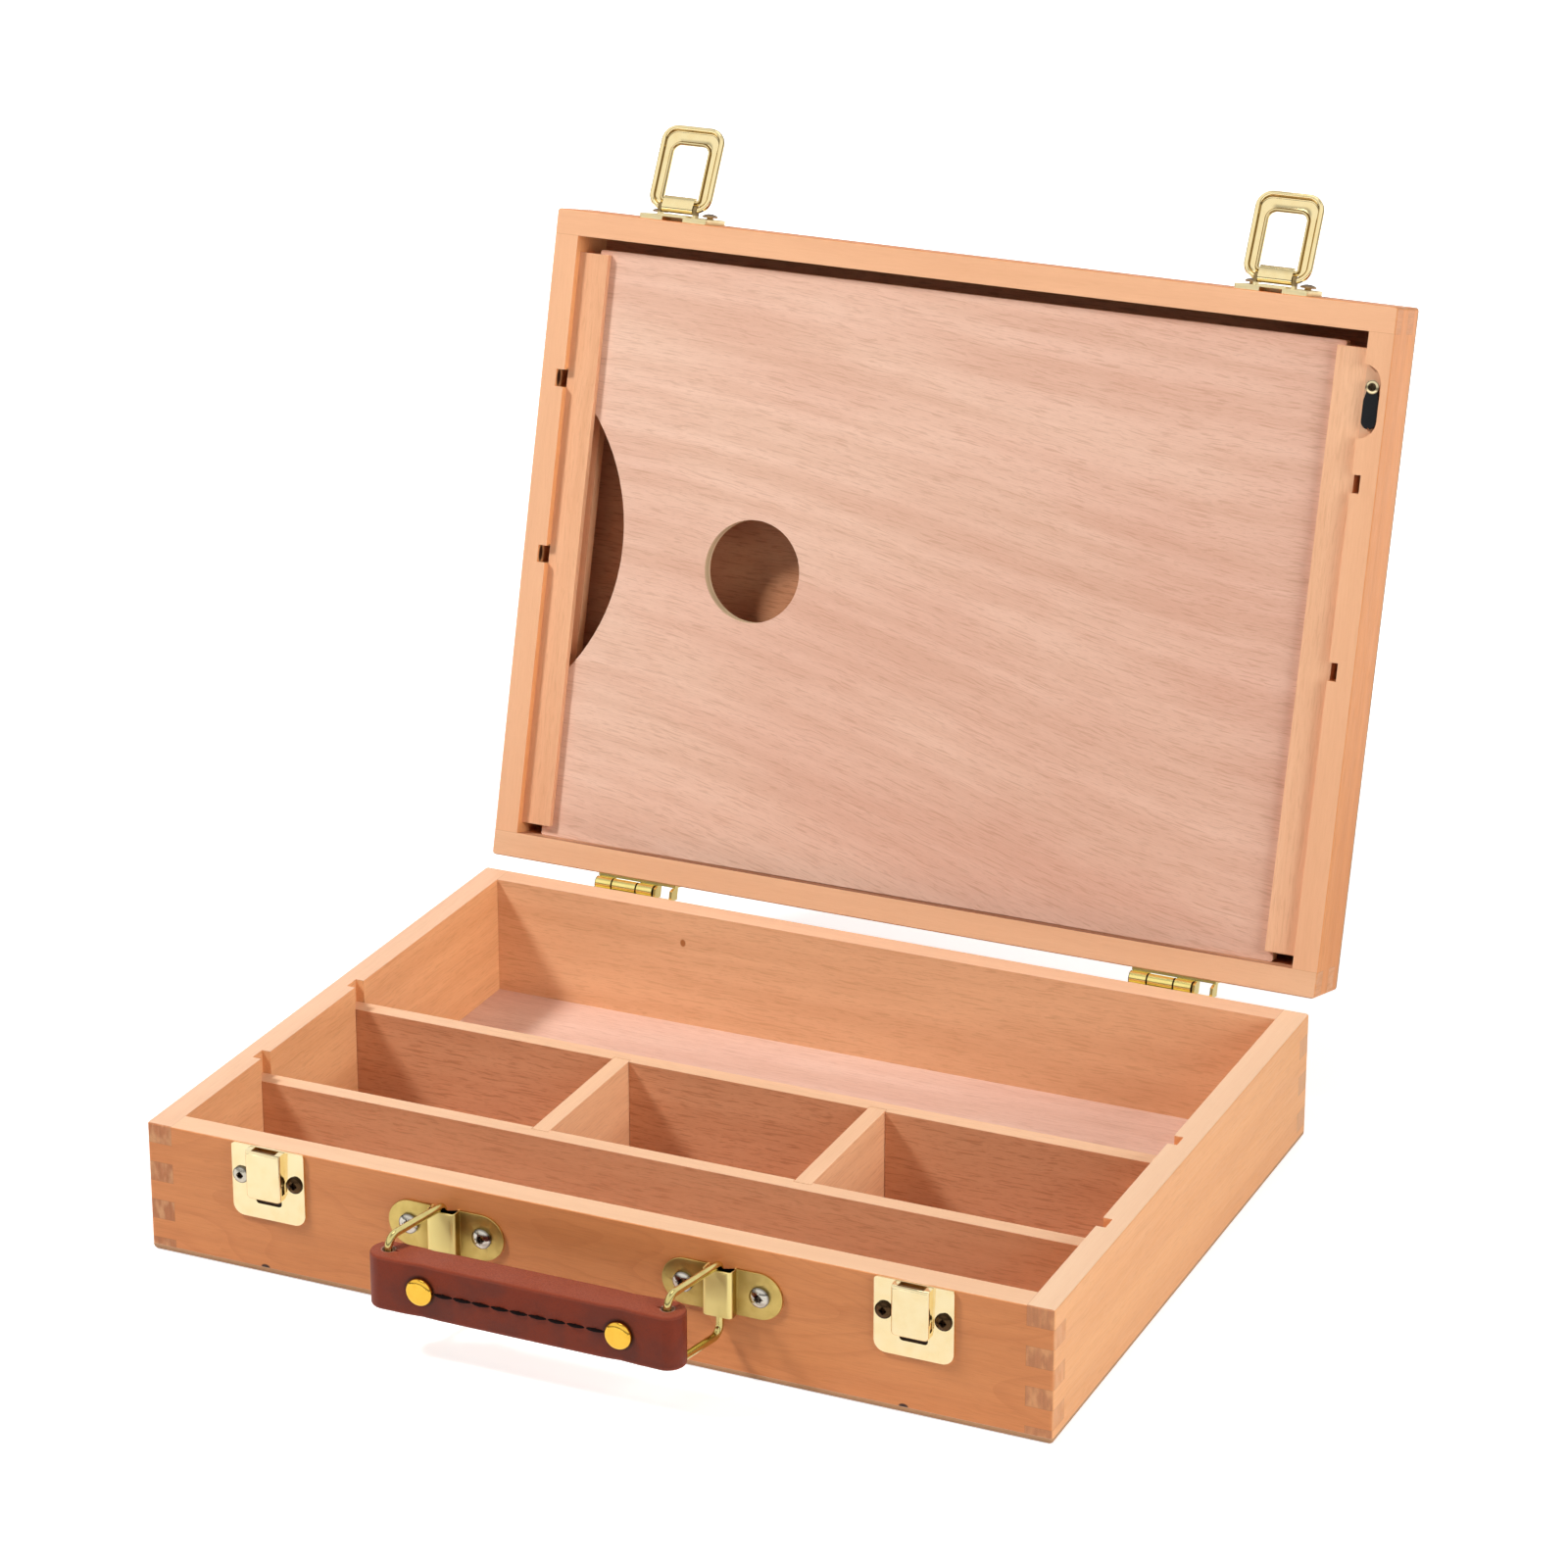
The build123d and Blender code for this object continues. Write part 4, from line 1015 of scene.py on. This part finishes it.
# %% Pinch the strap at its rivets
PINCHES = ((-8.0, 0.99), (-4.0, 0.965), (8.0, 0.99), (4.0, 0.965), (0.0, 0.95))
for rivet in RIVET_PLACES:
    for away, narrow in PINCHES:
        cut = HANDLE.x + rivet + away * MM
        pick_all()
        bpy.ops.mesh.bisect(plane_co=(cut, 0, 0), plane_no=(1, 0, 0))
        pick(strap, "VERT", lambda point: abs(point.x - cut) < 0.01 * MM)
        bpy.ops.transform.resize(value=(1, narrow, 1), center_override=(cut, HANDLE.y, HANDLE.z))
print("pinched", len(strap.data.vertices))

# %% Cut the eyes
EYE_RADIUS = 2.5 * MM
SLIT_LENGTH = 4.8 * MM
OVERSHOOT = 5 * MM
for place in EYE_PLACES:
    inward = -math.copysign(1.0, place)
    centre = HANDLE.x + place
    spot = (centre, HANDLE.y, strap_floor - OVERSHOOT)
    cutter = disc(EYE_RADIUS, spot, math.pi / 2, 24)
    pick(cutter, "VERT", lambda point: (point.x - centre) * inward > EYE_RADIUS - 0.01 * MM)
    move(x=inward * (SLIT_LENGTH - EYE_RADIUS))
    pick_all()
    extrude((0, 0, 2 * HALF_HEIGHT + 2 * OVERSHOOT))
    pick_all()
    bpy.ops.mesh.normals_make_consistent(inside=False)
    combine(strap, cutter, "DIFFERENCE")
change(strap, "BEVEL", width=0.35 * MM, segments=2, limit_method="ANGLE",
       angle_limit=math.radians(70))
settle(strap, "handle_leather")
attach(strap, "handle")
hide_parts("handle_strap")

# %% [markdown]
# ## Leather
# The outside of the hide is smooth, oiled and dark. The cut edges are lighter and rosier,
# and the flesh side, which shows only inside the eyes, is pale. Round each rivet and at each
# stitch hole the leather is painted dark, as painted shade of the gap and of the holes.

# %% Leather finish
STITCH_PITCH = 8.3
STITCH_COUNT = 9
leather, tree, shader = new_material("strap_leather")
place = object_place(tree)
along, through, up = axes_of(vector("SUBTRACT", place, HANDLE / MM))
mottle = noise(place, (0.07, 0.07, 0.07), 3.0)
pores = noise(place, (2.2, 2.2, 2.2), 3.0, 0.6)
creases = add(tree, "TexVoronoi", {"Vector": place, "Scale": 1.1}, feature="DISTANCE_TO_EDGE")
creases = fade(creases.outputs["Distance"], 0.12, 0.0)
face = mix(fade(mottle, 0.35, 0.65), srgb(115, 45, 25), srgb(132, 50, 25))
face = mix(times(creases, 0.25), face, srgb(84, 38, 28))
height_share = size_of(up)
cut_edge = mix(fade(pores, 0.35, 0.7), srgb(160, 78, 53), srgb(134, 60, 40))
colour = mix(times(line_at(height_share, 10.9, 1.2), 0.35), face, srgb(158, 78, 58))
colour = mix(fade(height_share, 11.1, 11.6), colour, cut_edge)


def distance_from(across, middle, other):
    """How far a point is from a line, seen along the line."""
    beside = minus(across, middle)
    return root(plus(times(beside, beside), times(other, other)))


sides = fade(size_of(through), 6.0, 6.8)
# Painted shade: the leather is darkened in a ring round each rivet's head.
for rivet in RIVET_PLACES:
    rivet_shade = times(fade(distance_from(along, rivet / MM, up), 7.4, 6.0), sides)
    colour = mix(times(rivet_shade, 0.75), colour, srgb(48, 20, 12))
for eye_place in EYE_PLACES:
    eye = distance_from(along, eye_place / MM, through)
    colour = mix(fade(eye, 3.3, 2.6), colour, srgb(178, 146, 130))
# Painted shade in the stitch holes: the leather is darkened round each hole.
from_stitch = zigzag(plus(along, STITCH_PITCH / 2), STITCH_PITCH / 2)
from_stitch = distance_from(minus(STITCH_PITCH / 2, from_stitch), 0.0, up)
row_end = (STITCH_COUNT * STITCH_PITCH) / 2 + 1.0
in_row = fade(size_of(along), row_end + 0.2, row_end)
stitch_hole_shade = times(fade(from_stitch, 1.1, 0.7), times(in_row, sides))
feed(shader, "Base Color", mix(stitch_hole_shade, colour, srgb(20, 8, 6)))
feed(shader, "Roughness", fade(mottle, 0.3, 0.7, 0.42, 0.52))
feed(shader, "Specular IOR Level", 0.3)
fine_bump(shader, plus(times(pores, 0.6), creases), 0.4, 0.08)
dress(strap.data, leather)
print("leather nodes", len(tree.nodes))

# %% [markdown]
# ## Rivets and stitches
# A rivet is turned on a lathe, and a stitch is a short length of thread that bulges between
# two holes. Both are round about one axis, so both are drawn as half a section, one point
# after another, and spun. The stitch is modelled once and copied.

# %% Turned pieces


def spun(name, half, centre, run, steps):
    """Draws a section from its first half, as (distance from the axis, place along it) in mm,
    and spins it."""
    fresh()
    bpy.ops.mesh.primitive_plane_add(size=MM, location=(0, 0, 0))
    piece = bpy.context.object
    edit()
    bpy.ops.mesh.select_mode(type="VERT")
    pick_all()
    bpy.ops.mesh.merge(type="CENTER")
    rise = Vector((0, 0, 1))
    section = (*half, *((out, -place) for out, place in reversed(half) if place))
    spots = [centre + rise * (out * MM) + run * (place * MM) for out, place in section]
    move(*spots[0])
    for here, there in zip(spots, spots[1:]):
        extrude(there - here)
    pick_all()
    bpy.ops.mesh.spin(steps=steps, angle=2 * math.pi, center=centre, axis=run)
    settle(piece, name)
    return piece


# %% Rivets
RIVET_HALF = ((0.0, -9.75), (2.6, -9.7), (4.3, -9.5), (5.1, -9.15), (5.65, -8.6), (5.85, -8.0),
              (5.8, -7.4), (2.0, -7.2))
for side, place in zip(SIDES, RIVET_PLACES):
    centre = HANDLE + Vector((place, 0, 0))
    rivet = spun(f"handle_rivet_{side}", RIVET_HALF, centre, Vector((0, 1, 0)), 40)
    dress(rivet.data, rivet_brass)
    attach(rivet, "handle")
    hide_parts("handle_rivets")

# %% Stitches
thread_material, tree, shader = new_material("stitch_thread")
twist = add(tree, "TexWave", {"Vector": object_place(tree), "Scale": 0.9, "Distortion": 1.0},
            bands_direction="DIAGONAL").outputs["Fac"]
feed(shader, "Base Color", mix(twist, srgb(8, 3, 3), srgb(26, 12, 10)))
feed(shader, "Roughness", 0.9)
feed(shader, "Specular IOR Level", 0.2)
fine_bump(shader, twist, 0.6, 0.15)

STITCH_HALF = ((0.0, -4.3), (0.35, -3.9), (0.65, -2.4), (0.76, 0.0))
STITCH_DIPS = ((2.0, 0.25), (3.5, 0.35))
threads = []
for face_side in (-1, 1):
    surface = HANDLE.y + face_side * (END_RADIUS + 0.05 * MM)
    centre = Vector((HANDLE.x, surface, HANDLE.z))
    stitch = spun("stitch", STITCH_HALF, centre, Vector((1, 0, 0)), 10)
    for end in (-1, 1):
        for reach, dip in STITCH_DIPS:
            pick(stitch, "VERT", lambda point: (point.x - HANDLE.x) * end > reach * MM)
            move(y=-face_side * dip * MM)
    fresh()
    for index in range(STITCH_COUNT):
        thread = copied(stitch)
        thread.location.x = (index - (STITCH_COUNT - 1) / 2) * STITCH_PITCH * MM
        threads.append(thread)
    bpy.data.objects.remove(stitch)
stitches = joined(threads)
stitches.name = "handle_stitches"
bpy.ops.object.shade_smooth_by_angle(angle=math.radians(50))
dress(stitches.data, thread_material)
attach(stitches, "handle")

# %% [markdown]
# ## Floor, light and camera
# A large floor, a white room, and four soft lamps: one high on the left that shapes the
# compartments, a wide one on the right that keeps the right side bright, a weak one
# overhead, and one behind, so that the lid's back isn't left in the dark. Only the lamp
# overhead shows in reflections: the others would leave white patches on the brass. The
# floor and the room glow for the camera and for reflections only, so the ground looks white
# and the object isn't flooded with light.

# %% Floor
WHITE = (1.0, 1.0, 1.0, 1.0)
FLOOR_SIZE = 14.0
GLOW_START = 0.4
GLOW_END = 1.5


def seen_directly(tree):
    """1 for rays from the camera and for reflections, 0 for the light that falls on things."""
    path = add(tree, "LightPath").outputs
    return most(most(path["Is Camera Ray"], path["Is Glossy Ray"]), path["Is Transmission Ray"])


fresh()
bpy.ops.mesh.primitive_plane_add(size=FLOOR_SIZE, location=(0, 0, 0))
floor = bpy.context.object
floor.name = "floor"
floor_material, tree, shader = new_material("floor_white")
feed(shader, "Base Color", (0.75, 0.75, 0.75, 1.0))
feed(shader, "Roughness", 0.9)
reach = vector("LENGTH", add(tree, "TexCoord").outputs["Object"], output="Value")
direct = fade(reach, GLOW_START, GLOW_END, 0.70, 1.0)
mirrored = fade(reach, GLOW_START, GLOW_END, 0.3, 1.0)
is_glossy = add(tree, "LightPath").outputs["Is Glossy Ray"]
level = add(tree, "Mix", {0: is_glossy, 2: direct, 3: mirrored}).outputs[0]
glow = add(tree, "Emission", {"Color": WHITE, "Strength": times(seen_directly(tree), level)})
both = add(tree, "AddShader", {0: shader.outputs[0], 1: glow.outputs[0]})
feed(tree.nodes["Material Output"], "Surface", both.outputs[0])
dress(floor.data, floor_material)

# %% Room and lamps
FILL = (1.0, 0.86, 0.70, 1.0)
FILL_STRENGTH = 0.095
AIM = Vector((0, 0.05, 0.12))
world = bpy.data.worlds.new("studio")
bpy.context.scene.world = world
world.use_nodes = True
tree = world.node_tree
background = tree.nodes["Background"]
feed(background, "Color", mix(seen_directly(tree), FILL, WHITE))
height = axes_of(add(tree, "TexCoord").outputs["Generated"])[2]
dark = most(fade(height, 0.34, 0.14, 0.0, 0.8), fade(height, 0.80, 0.95, 0.0, 0.6))
dark = times(dark, add(tree, "LightPath").outputs["Is Glossy Ray"])
strength = fade(seen_directly(tree), 0.0, 1.0, FILL_STRENGTH, 1.0)
feed(background, "Strength", times(strength, minus(1.0, dark)))


def lamp(name, toward, distance, size, power, mirrored=False):
    """A soft square lamp, aimed at the middle of the box. mirrored lets reflections show it."""
    data = bpy.data.lights.new(name, "AREA")
    data.size = size
    data.energy = power
    made = bpy.data.objects.new(name, data)
    bpy.context.collection.objects.link(made)
    made.location = AIM + Vector(toward).normalized() * distance
    made.rotation_euler = (AIM - made.location).to_track_quat("-Z", "Y").to_euler()
    made.visible_glossy = mirrored


lamp("key", (-0.58, -0.37, 0.73), 2.4, 0.4, 45.0)
lamp("right", (0.90, -0.30, 0.33), 2.3, 1.2, 31.0)
lamp("overhead", (0.0, 0.05, 1.0), 2.4, 1.0, 6.0, mirrored=True)
lamp("back", (-0.30, 1.0, 0.12), 2.4, 1.4, 22.0)
print("lamps aimed at", tuple(AIM))

# %% Camera
AZIMUTH = math.radians(24.40)
ELEVATION = math.radians(20.08)
camera_data = bpy.data.cameras.new("camera")
camera = bpy.data.objects.new("camera", camera_data)
bpy.context.collection.objects.link(camera)
camera.location = (0.7866, -1.6917, 0.9227)
camera.rotation_euler = (math.pi / 2 - ELEVATION, 0.0, AZIMUTH)
camera_data.sensor_width = 36.0
camera_data.lens = 111.81
camera_data.shift_y = -0.08
bpy.context.scene.camera = camera
bpy.context.scene.view_settings.view_transform = "Standard"
